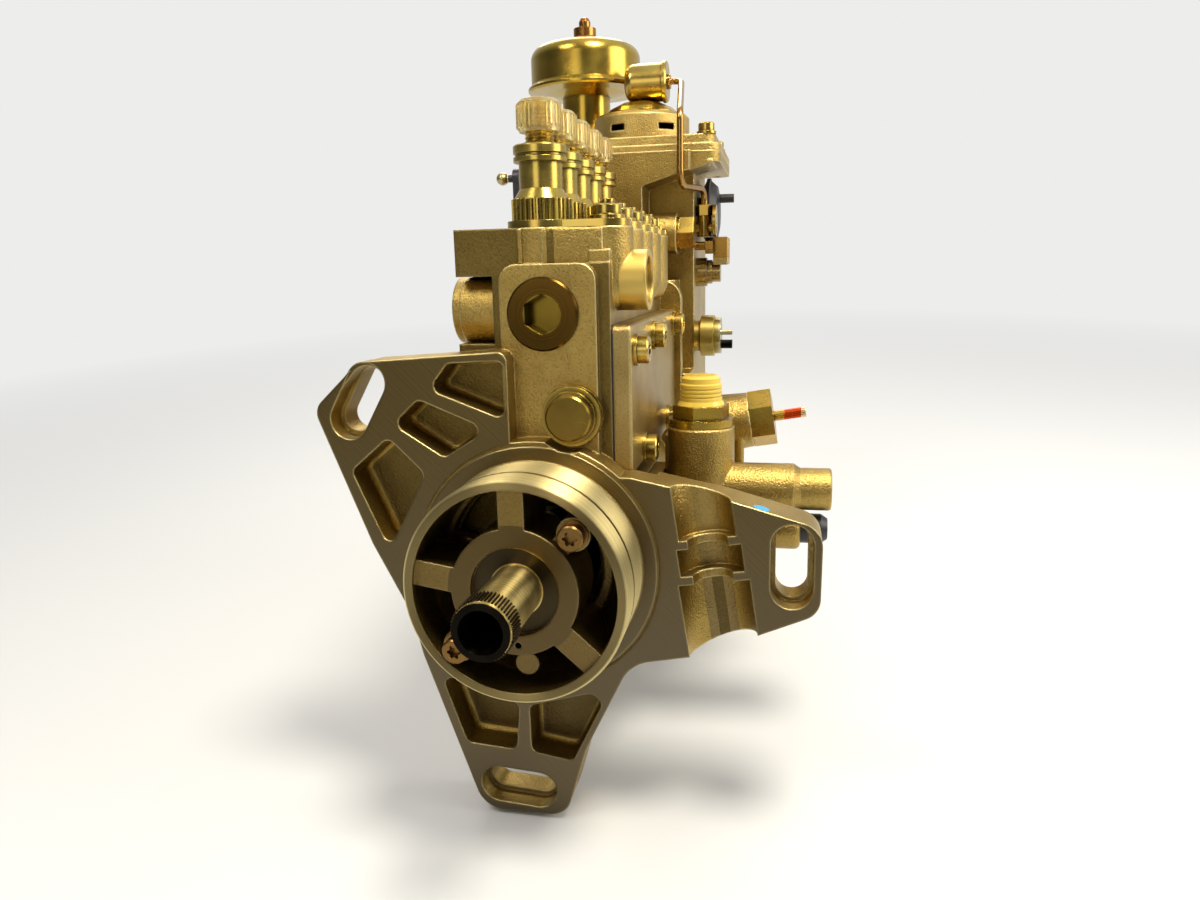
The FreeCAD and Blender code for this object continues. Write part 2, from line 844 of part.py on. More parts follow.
def pump_housing():
    flange = drilled(flange_slab(), flange_pockets())
    boss = rod(seat_ring_r + 1.5, flange_thick, V(0, 0, 0), AXIS_Y)
    flange = fused([flange, boss])
    arm_tools = [flange_slot(slot) for slot in (left_slot, right_slot, bottom_slot)]
    flange = drilled(flange, arm_tools + [arm_relief()])
    hollow = rod(pilot_r - pilot_wall, floor_y + 1, V(0, -1, 0), AXIS_Y)
    flange = flange.cut(hollow)
    whole = fused([flange] + pilot_and_hub() + body_solids())
    bowl = rod(pilot_r - pilot_wall, floor_y + 0.01, V(0, 0, 0), AXIS_Y)
    keep = fused(pilot_and_hub())
    whole = whole.cut(bowl.cut(keep))
    return whole.cut(body_cuts())


def bearing_outer_rings():
    solids = []
    for y in (front_bearing_y, rear_bearing_y):
        start = V(0, y, 0)
        solids.append(ring(bearing_r, bearing_r - bearing_ring, bearing_width, start, AXIS_Y))
    return solids


def bearing_inner_rings():
    solids = []
    inner_r = journal_r + 0.01
    race_r = inner_r + bearing_ring
    outer_race_r = bearing_r - bearing_ring
    ball = (outer_race_r - race_r) / 2 - running_gap
    pitch_r = (outer_race_r + race_r) / 2
    for y in (front_bearing_y, rear_bearing_y):
        solids.append(ring(race_r, inner_r, bearing_width, V(0, y, 0), AXIS_Y))
        for i in range(bearing_rollers):
            start = polar(pitch_r, 360.0 * i / bearing_rollers, y + 2)
            solids.append(rod(ball, bearing_width - 4, start, AXIS_Y))
    return solids


def bearing_retainer():
    y = hub_rear + seat_gap
    plate = rod(retainer_r, retainer_thick, V(0, y, 0), AXIS_Y)
    for degrees in screw_boss_angles:
        ear = rod(screw_boss_r - 0.5, retainer_thick, polar(screw_boss_pitch_r, degrees, y), AXIS_Y)
        bar = block(hub_r - 6, screw_boss_pitch_r, y, y + retainer_thick, -5, 5)
        bar.rotate(V(0, 0, 0), AXIS_Y, -degrees)
        plate = fused([plate, bar, ear])
    cuts = [rod(journal_r + 2.5, 12, V(0, y - 4, 0), AXIS_Y)]
    for degrees in screw_boss_angles:
        cuts.append(rod(screw_r, 12, polar(screw_boss_pitch_r, degrees, y - 4), AXIS_Y))
    return plate.cut(cuts)


def screws():
    solids = []
    for degrees in screw_boss_angles:
        start = polar(screw_boss_pitch_r, degrees, hub_front + 1)
        solids.append(torx_screw(hub_len + retainer_thick - 1, retainer_screw_head_r, start, V(0, -1, 0)))
    for y, z in cover_screws:
        solids.append(torx_screw(screw_grip, cover_screw_head_r, V(cover_outer_x, y, z), AXIS_X))
    for x, y in lid_screws:
        solids.append(torx_screw(lid_step + rim_thick - 1, lid_screw_head_r, V(x, y, lid_top), AXIS_Z))
    return solids


def seals():
    # paper gasket of the side cover
    gasket = side_prism(rectangle(cover_front, cover_rear, cover_bottom, cover_top, cover_corner_r),
                        body_right, cover_inner_x)
    cuts = [cover_window(body_right - 1, cover_inner_x + 1)]
    for y, z in cover_screws:
        cuts.append(rod(screw_r + 0.1, 4, V(body_right - 1, y, z), AXIS_X))
    return [gasket.cut(cuts)]


def cover_window(x0, x1):
    # opening inside the cover's clamped edge
    outline = rectangle(cover_front + cover_rim_width, cover_rear - cover_rim_width,
                        cover_bottom + cover_rim_width, cover_top - cover_rim_width, 3)
    return side_prism(outline, x0, x1)


def side_cover():
    # flat plate with a chamfered outer edge, hollow behind
    plate = side_prism(rectangle(cover_front, cover_rear, cover_bottom, cover_top, cover_corner_r),
                       cover_inner_x, cover_outer_x)
    outer = [e for e in plate.Edges if min(v.X for v in e.Vertexes) > cover_outer_x - 0.01]
    plate = plate.makeChamfer(cover_edge, outer)
    cuts = [cover_window(cover_inner_x - 1, cover_inner_x + cover_hollow)]
    for y, z in cover_screws:
        cuts.append(rod(screw_r + 0.1, 20, V(cover_inner_x - 1, y, z), AXIS_X))
    return plate.cut(cuts)


def gallery_plug():
    y = panel_front - plug_head_thick
    profile = [(0, y), (plug_head_r - 0.8, y), (plug_head_r, y + 0.8), (plug_head_r, panel_front),
               (plug_thread_r - 0.02, panel_front), (plug_thread_r - 0.02, panel_front + plug_thread_len),
               (0, panel_front + plug_thread_len)]
    body = turned(profile, V(gallery_x, 0, gallery_z), AXIS_Y)
    return body.cut(hexagon(plug_hex, plug_hex_depth, V(gallery_x, y - 0.01, gallery_z), AXIS_Y, 30))


def rack_end_cap():
    room_r = rack_r + 1.2
    profile = [(room_r, panel_front), (rack_cap_base_r, panel_front), (rack_cap_base_r, panel_front - 3.2),
               (rack_cap_step_r + 0.8, panel_front - 3.2), (rack_cap_step_r + 0.8, panel_front - 5.4),
               (rack_cap_step_r - 1, panel_front - 5.4), (rack_cap_step_r - 1, panel_front - 6.8),
               (rack_cap_r, panel_front - 6.8), (rack_cap_r, -0.4), (rack_cap_r - 0.8, -1.2),
               (0, -1.2), (0, 1.0), (room_r, 1.0)]
    return turned(profile, V(rack_x, 0, rack_z), AXIS_Y)


def cam_profile(degrees, y):
    # base circle, lobe nose and the two tangent flanks
    gap = cam_nose_reach - cam_nose_r
    lean = math.acos((cam_base_r - cam_nose_r) / gap)
    a = V(cam_base_r * math.sin(lean), y, cam_base_r * math.cos(lean))
    b = V(cam_nose_r * math.sin(lean), y, gap + cam_nose_r * math.cos(lean))
    c = V(-b.x, y, b.z)
    d = V(-a.x, y, a.z)
    edges = [Part.makeLine(a, b), Part.Arc(b, V(0, y, cam_nose_reach), c).toShape(), Part.makeLine(c, d),
             Part.Arc(d, V(0, y, -cam_base_r), a).toShape()]
    cam = Part.Face(Part.Wire(edges)).extrude(V(0, cam_width, 0))
    cam.rotate(V(0, 0, 0), AXIS_Y, degrees)
    return cam


def camshaft():
    spline_start = shaft_tip_y + spline_setback
    core = [(0, shaft_tip_y), (shaft_nose_r + 0.4, shaft_tip_y),
            (shaft_nose_r + 0.4, spline_start + spline_len),
            (shaft_nose_r, spline_start + spline_len + 1),
            (shaft_nose_r, collar_front), (collar_r, collar_front),
            (collar_r, collar_rear), (journal_r + 2, collar_rear), (journal_r + 2, front_bearing_y),
            (journal_r, front_bearing_y), (journal_r, front_bearing_y + bearing_width + 3),
            (shaft_core_r, front_bearing_y + bearing_width + 3), (shaft_core_r, rear_bearing_y - 3),
            (journal_r + 1.5, rear_bearing_y - 3), (journal_r + 1.5, rear_bearing_y),
            (journal_r, rear_bearing_y), (journal_r, hub_front_y - 1), (shaft_end_r, hub_front_y - 1),
            (shaft_end_r, shaft_end_y), (0, shaft_end_y)]
    shaft = turned(core, V(0, 0, 0), AXIS_Y)
    teeth = toothed(spline_r, spline_root_r, spline_teeth, spline_len, V(0, spline_start, 0), AXIS_Y)
    cams = [cam_profile(cam_order[i % len(cam_order)], y - cam_width / 2) for i, y in enumerate(cyl_y)]
    eccentric = rod(eccentric_r, eccentric_width, V(-eccentric_throw, feed_y - eccentric_width / 2, 0), AXIS_Y)
    shaft = fused([shaft, teeth, eccentric] + cams)
    return shaft.cut(rod(nose_bore_r, nose_bore_len, V(0, shaft_tip_y, 0), AXIS_Y))


def tappet(y):
    # shell with its roller slot, roller on its pin, lower spring seat
    shell = rod(tappet_r, tappet_len, V(0, y, tappet_bottom_z), AXIS_Z)
    slot = block(-tappet_r, tappet_r, y - roller_width / 2 - 0.2, y + roller_width / 2 + 0.2,
                 tappet_bottom_z - 1, roller_z + roller_r + 0.5)
    pin_start = V(0, y - tappet_r + 1.5, roller_z)
    pin = rod(roller_pin_r, 2 * tappet_r - 3, pin_start, AXIS_Y)
    shell = shell.cut([slot, pin])
    roller = ring(roller_r, roller_pin_r, roller_width, V(0, y - roller_width / 2, roller_z), AXIS_Y)
    seat_z = tappet_top_z + plunger_foot_thick + seat_lift
    seat = ring(tappet_r - 1, plunger_r + 0.5, lower_seat_thick, V(0, y, seat_z), AXIS_Z)
    wall_ring = ring(tappet_r - 1, tappet_r - 2.6, seat_z - tappet_top_z, V(0, y, tappet_top_z), AXIS_Z)
    return [shell, roller, pin, fused([seat, wall_ring])]


def plunger(y):
    foot = rod(plunger_foot_r, plunger_foot_thick, V(0, y, plunger_foot_z), AXIS_Z)
    stem = rod(plunger_r, plunger_top_z - plunger_foot_z, V(0, y, plunger_foot_z), AXIS_Z)
    vane = block(-vane_half, vane_half, y - vane_thick / 2, y + vane_thick / 2, vane_z, vane_z + vane_len)
    solid = fused([foot, stem, vane])
    helix = block(plunger_r - 1.0, plunger_r + 1, y - 2.2, y + 2.2, plunger_top_z - 9, plunger_top_z - 3)
    helix.rotate(V(plunger_r, y, plunger_top_z - 6), AXIS_X, 30)
    return solid.cut(helix)


def control_sleeve(y):
    # slotted tube that turns the plunger's vane, with the ball arm into the rack's fork
    tube = ring(sleeve_r, sleeve_bore_r, sleeve_top_z - sleeve_bottom_z, V(0, y, sleeve_bottom_z), AXIS_Z)
    slot_top = vane_z + vane_len + cam_lift + 1
    slot = block(-sleeve_r - 1, sleeve_r + 1,
                 y - vane_thick / 2 - sliding_gap, y + vane_thick / 2 + sliding_gap,
                 sleeve_bottom_z - 1, slot_top)
    tube = tube.cut(slot)
    head = ring(sleeve_r + 1.6, sleeve_bore_r, 6.0, V(0, y, arm_z - 3), AXIS_Z)
    arm = block(sleeve_bore_r + 0.5, arm_len, y - arm_width / 2, y + arm_width / 2,
                arm_z - arm_width / 2, arm_z + arm_width / 2)
    ball = Part.makeSphere(ball_r, V(arm_len, y, arm_z))
    return fused([tube, head, arm, ball])


def control_rack():
    bar = rod(rack_r, rack_rear_y - rack_front_y, V(rack_x, rack_front_y, rack_z), AXIS_Y)
    flat = block(rack_x - rack_r - 1, rack_x - rack_r + rack_flat, cyl_y[0] - 8, cyl_y[-1] + 8,
                 rack_z - rack_r, rack_z + rack_r)
    bar = bar.cut(flat)
    pin = rod(lever_pin_r, lever_x + lever_thick + 2 - rack_x, V(rack_x, lever_y, rack_z), AXIS_X)
    bar = fused([bar, pin])
    slot_half = ball_r + fork_gap
    solids = [bar]
    for y in cyl_y:
        half = slot_half + fork_wall
        clamp = block(clamp_left, rack_x + rack_r + 2, y - half, y + half,
                      rack_z - rack_r - 1.8, rack_z + rack_r)
        fork = block(rack_x - 3.9, rack_x + 4.2, y - half, y + half, rack_z, fork_top_z)
        slot = block(rack_x - 6, rack_x + 6, y - slot_half, y + slot_half,
                     rack_z + rack_r + 0.1, fork_top_z + 1)
        piece = fused([clamp, fork]).cut(slot)
        solids.append(piece.cut(bar))
    return solids


def flanged_barrel(y):
    # neck inside the sleeve, middle in the web, head with the valve seat and threaded mouth
    profile = [(plunger_r + sliding_gap, barrel_bottom_z), (barrel_neck_r, barrel_bottom_z),
               (barrel_neck_r, barrel_mid_z), (barrel_mid_r, barrel_mid_z), (barrel_mid_r, barrel_shoulder_z),
               (barrel_r, barrel_shoulder_z), (barrel_r, plate_top), (holder_thread_r + 0.02, plate_top),
               (holder_thread_r + 0.02, holder_thread_bottom),
               (valve_stem_r + sliding_gap, holder_thread_bottom),
               (valve_stem_r + sliding_gap, plunger_top_z + cam_lift + 1),
               (plunger_r + sliding_gap, plunger_top_z + cam_lift + 1)]
    body = turned(profile, V(0, y, 0), AXIS_Z)
    return body.cut(rod(1.5, 3 * barrel_r, V(-1.5 * barrel_r, y, gallery_z - 3), AXIS_X))


def valve_holder(y):
    # threaded foot, splined base, collar and ringed outlet thread
    profile = [(holder_room_r, holder_thread_bottom), (holder_thread_r, holder_thread_bottom),
               (holder_thread_r, plate_top), (holder_spline_root_r, plate_top),
               (holder_spline_root_r, holder_spline_top), (holder_barrel_r, holder_spline_top + 4.0),
               (holder_barrel_r, holder_collar_z), (holder_collar_r, holder_collar_z),
               (holder_collar_r, holder_collar_z + 1.8), (holder_collar_r - 0.7, holder_collar_z + 2.1),
               (holder_collar_r - 0.7, holder_collar_z + 2.9), (holder_collar_r, holder_collar_z + 3.2),
               (holder_collar_r, holder_collar_top - 0.6), (holder_collar_r - 0.6, holder_collar_top),
               (holder_neck_r + 0.6, holder_collar_top + 0.8)]
    crest = holder_collar_top + 1.2
    for i in range(holder_thread_turns):
        foot = crest + i * holder_thread_pitch
        profile.append((holder_neck_r, foot))
        profile.append((holder_neck_r - holder_thread_depth, foot + holder_thread_pitch / 2))
    profile = profile + [(holder_neck_r, crest + holder_thread_turns * holder_thread_pitch),
                         (holder_neck_r, holder_top_z - 1), (holder_neck_r - 1, holder_top_z),
                         (2 * holder_bore_r, holder_top_z), (holder_bore_r, holder_top_z - 2.5),
                         (holder_bore_r, holder_room_top), (holder_room_r, holder_room_top - 3)]
    body = turned(profile, V(0, y, 0), AXIS_Z)
    length = holder_spline_top - plate_top
    teeth = toothed(holder_spline_r, holder_spline_root_r - 0.2, holder_teeth, length,
                    V(0, y, plate_top), AXIS_Z)
    teeth = teeth.cut(rod(holder_thread_r - 0.5, length, V(0, y, plate_top), AXIS_Z))
    return fused([body, teeth])


def outlet_cap(y):
    # clear ribbed cap that grips the outlet thread with its skirt
    skin_r = cap_r - cap_rib_height
    room_r = skin_r - cap_wall
    profile = [(holder_neck_r, cap_bottom_z), (skin_r - 0.6, cap_bottom_z),
               (skin_r, cap_bottom_z + 1), (skin_r, cap_top_z - 1.4), (skin_r - 1.4, cap_top_z),
               (0, cap_top_z), (0, holder_top_z + 0.2), (room_r, holder_top_z + 0.2),
               (room_r, cap_bottom_z + cap_grip), (holder_neck_r, cap_bottom_z + cap_grip)]
    body = turned(profile, V(0, y, 0), AXIS_Z)
    rib_start = V(0, y, cap_bottom_z + 1.4)
    rib_len = cap_top_z - cap_bottom_z - 3.2
    ribs = toothed(cap_r, skin_r - 0.1, cap_ribs, rib_len, rib_start, AXIS_Z)
    ribs = ribs.cut(rod(skin_r - cap_wall / 2, rib_len, rib_start, AXIS_Z))
    return fused([body, ribs])


def delivery_valve(y):
    seat_z = holder_thread_bottom + seat_gap
    foot_z = plunger_top_z + cam_lift + 2
    stem = rod(valve_stem_r, seat_z - foot_z, V(0, y, foot_z), AXIS_Z)
    head = turned([(0, seat_z), (valve_head_r, seat_z), (valve_head_r, valve_seat_z), (2.2, valve_seat_z + 1),
                   (2.2, valve_seat_z + 6), (0, valve_seat_z + 6)], V(0, y, 0), AXIS_Z)
    return fused([stem, head])


def element_plate():
    # plate scalloped round each element and its stud
    shapes = []
    for y in cyl_y:
        shapes.append(rod(plate_round_r, plate_thick, V(0, y, body_top), AXIS_Z))
        shapes.append(rod(plate_tab_r, plate_thick, V(nut_x, y, body_top), AXIS_Z))
        shapes.append(block(0, nut_x, y - plate_tab_r, y + plate_tab_r, body_top, plate_top))
    cuts = []
    for y in cyl_y:
        cuts.append(rod(barrel_r + seat_gap, plate_thick + 2, V(0, y, body_top - 1), AXIS_Z))
        cuts.append(rod(stud_r + 0.1, plate_thick + 2, V(nut_x, y, body_top - 1), AXIS_Z))
    return fused(shapes).cut(cuts)


def element_nuts():
    # studs with round flanged nuts
    solids = []
    nut_top = plate_top + nut_len
    for y in cyl_y:
        stud_len = stud_depth + plate_thick + nut_len + stud_end
        stud = rod(stud_r, stud_len, V(nut_x, y, body_top - stud_depth), AXIS_Z)
        profile = [(stud_r, plate_top), (nut_flange_r, plate_top),
                   (nut_flange_r, plate_top + nut_flange_thick),
                   (nut_r, plate_top + nut_flange_thick + 0.4), (nut_r, nut_top - 0.6),
                   (nut_r - 0.8, nut_top), (stud_r, nut_top)]
        solids.append(turned(profile, V(nut_x, y, 0), AXIS_Z))
        solids.append(stud)
    return solids


def governor_housing():
    outer = front_prism(rectangle(gov_left, gov_right, gov_bottom, gov_top + rim_thick, gov_corner_r),
                        body_rear, gov_rear)
    square_top = block(gov_left, gov_right, body_rear, gov_rear, gov_top - 20, gov_top + rim_thick)
    rim = plan_prism(rectangle(rim_left, rim_right, rim_front, gov_rear, 8), gov_top, gov_top + rim_thick)
    flare = front_prism([(bay_left - 1, flare_root_z, 0), (flare_tip_x, flare_tip_z, 0),
                         (flare_tip_x, gov_top + 1, 0), (bay_left - 1, gov_top + 1, 0)],
                        rim_front, flare_rear)
    lever_boss = rod(throttle_shaft_r + 5, gov_left - throttle_x - 8,
                     V(throttle_x + 8, throttle_y, throttle_z), AXIS_X)
    whole = fused([outer, square_top, rim, flare, lever_boss])
    whole = whole.cut([governor_room(), governor_mouth()] + governor_bays())
    boss = rod(valve_boss_r, valve_boss_end - bay_left + 1, V(bay_left - 1, hex_valve_y, hex_valve_z), AXIS_X)
    return fused([whole, boss]).cut(governor_holes())


def governor_room():
    # inside of the housing, clear of the walls of the front bays
    room = front_prism(rectangle(gov_left + gov_wall, gov_right - gov_wall, gov_bottom + gov_wall,
                                 gov_top - 4, gov_corner_r - gov_wall), body_rear + gov_wall, gov_rear + 1)
    bay_walls = [block(step_right - gov_wall, gov_right, body_rear, step_rear + gov_wall,
                       step_bottom - gov_wall, gov_top),
                 block(bay_left - gov_wall, gov_right, body_rear, step_rear + gov_wall,
                       bay_bottom - gov_wall, gov_top)]
    return room.cut(bay_walls)


def governor_mouth():
    # opening under the lid
    outline = rectangle(gov_left + 10, gov_right - 6, step_rear + gov_wall, gov_rear - 12, 6)
    return plan_prism(outline, gov_top - 10, gov_top + rim_thick + 1)


def governor_bays():
    # front bays at the right, below the sloping flare
    slope = (flare_tip_z - flare_root_z) / (flare_tip_x - bay_left)
    outer_x = gov_right + 1
    outer_z = flare_root_z + slope * (outer_x - bay_left)
    upper = front_prism([(bay_left, bay_bottom, 4), (outer_x, bay_bottom, 0), (outer_x, outer_z, 0),
                         (bay_left, flare_root_z, 2)], body_rear - 1, step_rear)
    lower = block(step_right, outer_x, body_rear - 1, step_rear, step_bottom, bay_bottom + 1)
    return [upper, lower]


def governor_holes():
    cuts = [rod(hex_valve_shank_r + 0.1, hex_valve_shank_len + 1,
                V(valve_boss_end - hex_valve_shank_len, hex_valve_y, hex_valve_z), AXIS_X)]
    cuts.append(rod(hub_r + 2, 12, V(0, body_rear - 1, 0), AXIS_Y))
    cuts.append(rod(rack_r + 1, 12, V(rack_x, body_rear - 1, rack_z), AXIS_Y))
    cuts.append(rod(throttle_shaft_r + running_gap, 60, V(throttle_x - 5, throttle_y, throttle_z), AXIS_X))
    cuts.append(rod(lever_shaft_r + running_gap, gov_right - gov_left - 3,
                    V(gov_left + 1.5, lever_y, lever_pivot_z), AXIS_X))
    cuts.append(rod(4.5, 10, V(gov_right - 8, shutoff_y, shutoff_z), AXIS_X))
    for x, y in lid_screws:
        cuts.append(rod(screw_r, rim_thick + 2, V(x, y, gov_top - 1), AXIS_Z))
    return cuts


def governor_cover():
    # dished plate that closes the governor at the rear
    outline = rectangle(gov_left, gov_right, gov_bottom, gov_top - 3, gov_corner_r)
    plate = front_prism(outline, gov_rear, gov_rear + rear_cover_thick)
    inner = rectangle(gov_left + 12, gov_right - 12, gov_bottom + 12, gov_top - 18, 14)
    bulge = front_prism(inner, gov_rear + 1, gov_rear + rear_cover_thick + rear_cover_bulge)
    hollow = front_prism([(a * 0.92, b * 0.95, r - 3) for a, b, r in inner], gov_rear - 1,
                         gov_rear + rear_cover_bulge)
    return fused([plate, bulge]).cut(hollow)


def governor_lid():
    # stepped lid with the vented turret and the socket of the altitude capsule
    plate = plan_prism(rectangle(rim_left, rim_right, rim_front, gov_rear, 8), lid_bottom, lid_bottom + 4)
    upper = plan_prism(rectangle(rim_left + lid_setback, rim_right - lid_setback, rim_front + lid_setback,
                                 gov_rear - lid_setback, 7), lid_bottom + 3, lid_top)
    foot = turned([(0, lid_top - 1), (turret_r + 3, lid_top - 1), (turret_r + 3, lid_top),
                   (turret_r, lid_top + 2.5), (turret_r, turret_top - 2), (turret_r - 2, turret_top),
                   (0, turret_top)], V(turret_x, turret_y, 0), AXIS_Z)
    pad = rod(6.5, 4, V(turret_x + turret_r + 0.5, turret_y, lid_top - 0.5), AXIS_Z)
    socket = rod(neck_r + 1.5, 7, V(can_x, can_y, lid_top - 1), AXIS_Z)
    whole = fused([plate, upper, foot, pad, socket])
    inside_r = turret_r - turret_wall
    inside = turned([(0, lid_bottom - 1), (inside_r - 6, lid_bottom - 1), (inside_r - 6, lid_top - 3),
                     (inside_r, lid_top), (inside_r, turret_top - turret_wall),
                     (0, turret_top - turret_wall)], V(turret_x, turret_y, 0), AXIS_Z)
    cuts = [inside, rod(8, 12, V(turret_x, turret_y, turret_top - 6), AXIS_Z)]
    for offset in vent_offsets:
        vent_x = turret_x + offset
        cuts.append(block(vent_x - vent_width / 2, vent_x + vent_width / 2, turret_y - turret_r - 2,
                          turret_y - 12, vent_z - vent_height / 2, vent_z + vent_height / 2))
    cuts.append(rod(8, 30, V(can_x, can_y, lid_bottom - 1), AXIS_Z))
    for x, y in lid_screws:
        cuts.append(rod(screw_r + 0.1, lid_step + 2, V(x, y, lid_bottom - 1), AXIS_Z))
    return whole.cut(cuts)


def turret_dome():
    profile = [(0, turret_top), (dome_r, turret_top), (dome_r, turret_top + 1.4), (dome_r - 3, turret_top + 4),
               (dome_top_r, dome_top), (0, dome_top)]
    dome = turned(profile, V(turret_x, turret_y, 0), AXIS_Z)
    plug = rod(7.9, 5, V(turret_x, turret_y, turret_top - 4), AXIS_Z)
    cradle = rod(idle_unit_r, idle_unit_right - idle_unit_left,
                 V(idle_unit_left, idle_unit_y, idle_unit_z), AXIS_X)
    return fused([dome, plug]).cut(cradle)


def idle_unit():
    # lying vacuum canister with a rounded end, rolled seam and pipe nipple
    length = idle_unit_right - idle_unit_left
    r = idle_unit_r
    profile = [(0, 0), (r, 0), (r, length - 3), (r + 0.9, length - 2.6), (r + 0.9, length - 0.8),
               (r, length), (4.2, length), (4.2, length + 1.6), (pipe_r, length + 1.6),
               (pipe_r, length - 4), (0, length - 4)]
    start = V(idle_unit_left, idle_unit_y, idle_unit_z)
    unit = turned(profile, start, AXIS_X)
    return unit.makeFillet(idle_unit_round, circle_edges(unit, r, start))


def pipe_route():
    # from the canister forward over the lid's edge, down its front and back into the union
    return [V(idle_unit_right - 4, idle_unit_y, idle_unit_z), V(idle_unit_right + 8, idle_unit_y, idle_unit_z),
            V(pipe_front_x, pipe_front_y, lid_top + 10), V(pipe_front_x, pipe_front_y, flare_root_z - 1),
            V(union_x, union_y, union_z + 22), V(union_x, union_y, union_z + 7)]


def vacuum_pipe():
    points = pipe_route()
    edges = []
    last = points[0]
    for i in range(1, len(points) - 1):
        into = points[i - 1] - points[i]
        out = points[i + 1] - points[i]
        shortest = min(into.Length, out.Length)
        half = into.getAngle(out) / 2
        into.normalize()
        out.normalize()
        reach = min(pipe_bend_r / math.tan(half), 0.45 * shortest)
        r = reach * math.tan(half)
        middle = into + out
        middle.normalize()
        start = points[i] + into * reach
        end = points[i] + out * reach
        mid = points[i] + middle * (r / math.sin(half) - r)
        edges.append(Part.makeLine(last, start))
        edges.append(Part.Arc(start, mid, end).toShape())
        last = end
    edges.append(Part.makeLine(last, points[-1]))
    path = Part.Wire(edges)
    along = points[1] - points[0]
    section = Part.Wire([Part.makeCircle(pipe_r - 0.02, points[0], along)])
    return path.makePipeShell([section], True, False)


def capsule_can():
    # drawn can with a rolled lower rim and a rounded top, on its neck
    wall_r = can_r - can_bead
    neck_foot = lid_top + 6
    profile = [(0, neck_foot), (neck_r - 2, neck_foot), (neck_r - 2, neck_foot + 4), (neck_r, neck_foot + 5),
               (neck_r, can_bottom - 3), (can_r * 0.7, can_bottom - 0.8), (can_r - 0.8, can_bottom),
               (can_r, can_bottom + 1.0), (can_r, can_bottom + 2.4), (wall_r, can_bottom + 4.6),
               (wall_r, can_top), (0, can_top)]
    can = turned(profile, V(can_x, can_y, 0), AXIS_Z)
    can = can.makeFillet(can_round, circle_edges(can, wall_r, V(can_x, can_y, can_top)))
    room_r = wall_r - can_skin
    room = turned([(0, can_bottom + 3), (room_r, can_bottom + 5), (room_r, can_top - can_round),
                   (room_r - can_round, can_top - can_skin), (0, can_top - can_skin)],
                  V(can_x, can_y, 0), AXIS_Z)
    return can.cut(room)


def capsule_adjuster():
    # lock nut, washer and the sealed tip of the adjusting screw
    hex_top = can_top + adjuster_hex_len
    washer_top = hex_top + adjuster_washer_len
    nut = hexagon(adjuster_hex, adjuster_hex_len, V(can_x, can_y, can_top), AXIS_Z)
    washer = rod(adjuster_washer_r, adjuster_washer_len, V(can_x, can_y, hex_top), AXIS_Z)
    tip = turned([(0, washer_top), (tip_r, washer_top), (tip_r, tip_top - 3), (tip_r - 1, tip_top - 1),
                  (0, tip_top)], V(can_x, can_y, 0), AXIS_Z)
    return [fused([nut, washer]), tip]


def shutoff_unit():
    # flat vacuum unit: two dished shells clamped at the rim, hollow for the diaphragm
    start = V(gov_right, shutoff_y, shutoff_z)
    r = shutoff_r
    t = shutoff_thick
    profile = [(4.2, 0), (9, 0), (9, 1.6), (r - 5, 2.4), (r - 1.5, 4.4), (r, 4.8), (r, 6.8), (r - 1.5, 7.2),
               (r - 5, t - 1), (10, t), (0, t), (0, t - shutoff_skin), (10, t - shutoff_skin),
               (r - 4, 6.4), (r - 4, 5.2), (9, shutoff_floor), (4.2, shutoff_floor)]
    shell = turned(profile, start, AXIS_X)
    nipple = rod(2.6, 9, start + V(t - 0.5, 0, 8), AXIS_X)
    return fused([shell, nipple])


def shutoff_rod():
    # rod that leaves the wall, with the diaphragm's plate inside the unit
    reach = 20.0
    plate_x = shutoff_floor + free_gap
    start = V(gov_right - reach, shutoff_y, shutoff_z)
    shaft = rod(3.4, reach + plate_x + 0.5, start, AXIS_X)
    plate = rod(8.0, shutoff_plate, start + V(reach + plate_x, 0, 0), AXIS_X)
    return fused([shaft, plate])


def fittings():
    # overflow valve in the front bay, pipe union, bolt and hose elbow on the right wall
    return [overflow_valve(), pipe_union(), wall_bolt(), elbow_base(), elbow_head()]


def overflow_valve():
    start = V(valve_boss_end, hex_valve_y, hex_valve_z)
    washer = rod(hex_valve_across * 0.55, 1.5, start, AXIS_X)
    head = hexagon(hex_valve_across, hex_valve_len, start + V(1.5, 0, 0), AXIS_X, 30)
    shank = rod(hex_valve_shank_r, hex_valve_shank_len, start - V(hex_valve_shank_len, 0, 0), AXIS_X)
    return fused([washer, head, shank])


def pipe_union():
    # upright ferrule for the pipe, held to the wall, with a thin disc outside
    foot_z = union_z - 5
    nut_z = union_z + 7
    body = rod(union_r, nut_z - foot_z, V(union_x, union_y, foot_z), AXIS_Z)
    nut = hexagon(union_hex, 6, V(union_x, union_y, nut_z), AXIS_Z)
    link = rod(3.0, 12.5, V(gov_right, union_y, union_z), AXIS_X)
    disc = rod(union_disc_r, 1.8, V(gov_right + 10.5, union_y, union_z + 4), AXIS_X)
    seat = rod(pipe_r + 3 * seat_gap, 8, V(union_x, union_y, nut_z - 0.2), AXIS_Z)
    return fused([body, nut, link, disc]).cut(seat)


def wall_bolt():
    start = V(gov_right, union_y - 1, union_z - 10)
    shank = rod(2.4, 7, start, AXIS_X)
    head = hexagon(8.0, 4.5, start + V(6, 0, 0), AXIS_X)
    return fused([shank, head])


def elbow_base():
    start = V(gov_right, union_y + 12, union_z - 25)
    return fused([rod(8.4, 6, start, AXIS_X), rod(7.0, 4, start + V(5, 0, 0), AXIS_X)])


def elbow_head():
    # square-bodied elbow above its round base
    x = gov_right + 9
    y = union_y + 12
    z = union_z - 25
    foot = rod(6.0, 5, V(x, y, z), AXIS_X)
    square = block(x + 1, x + 10, y - 7.5, y + 7.5, z + 4, z + 20)
    rear = [e for e in square.Edges if min(v.X for v in e.Vertexes) > x + 9.9]
    return fused([foot, square.makeChamfer(1.0, rear)])


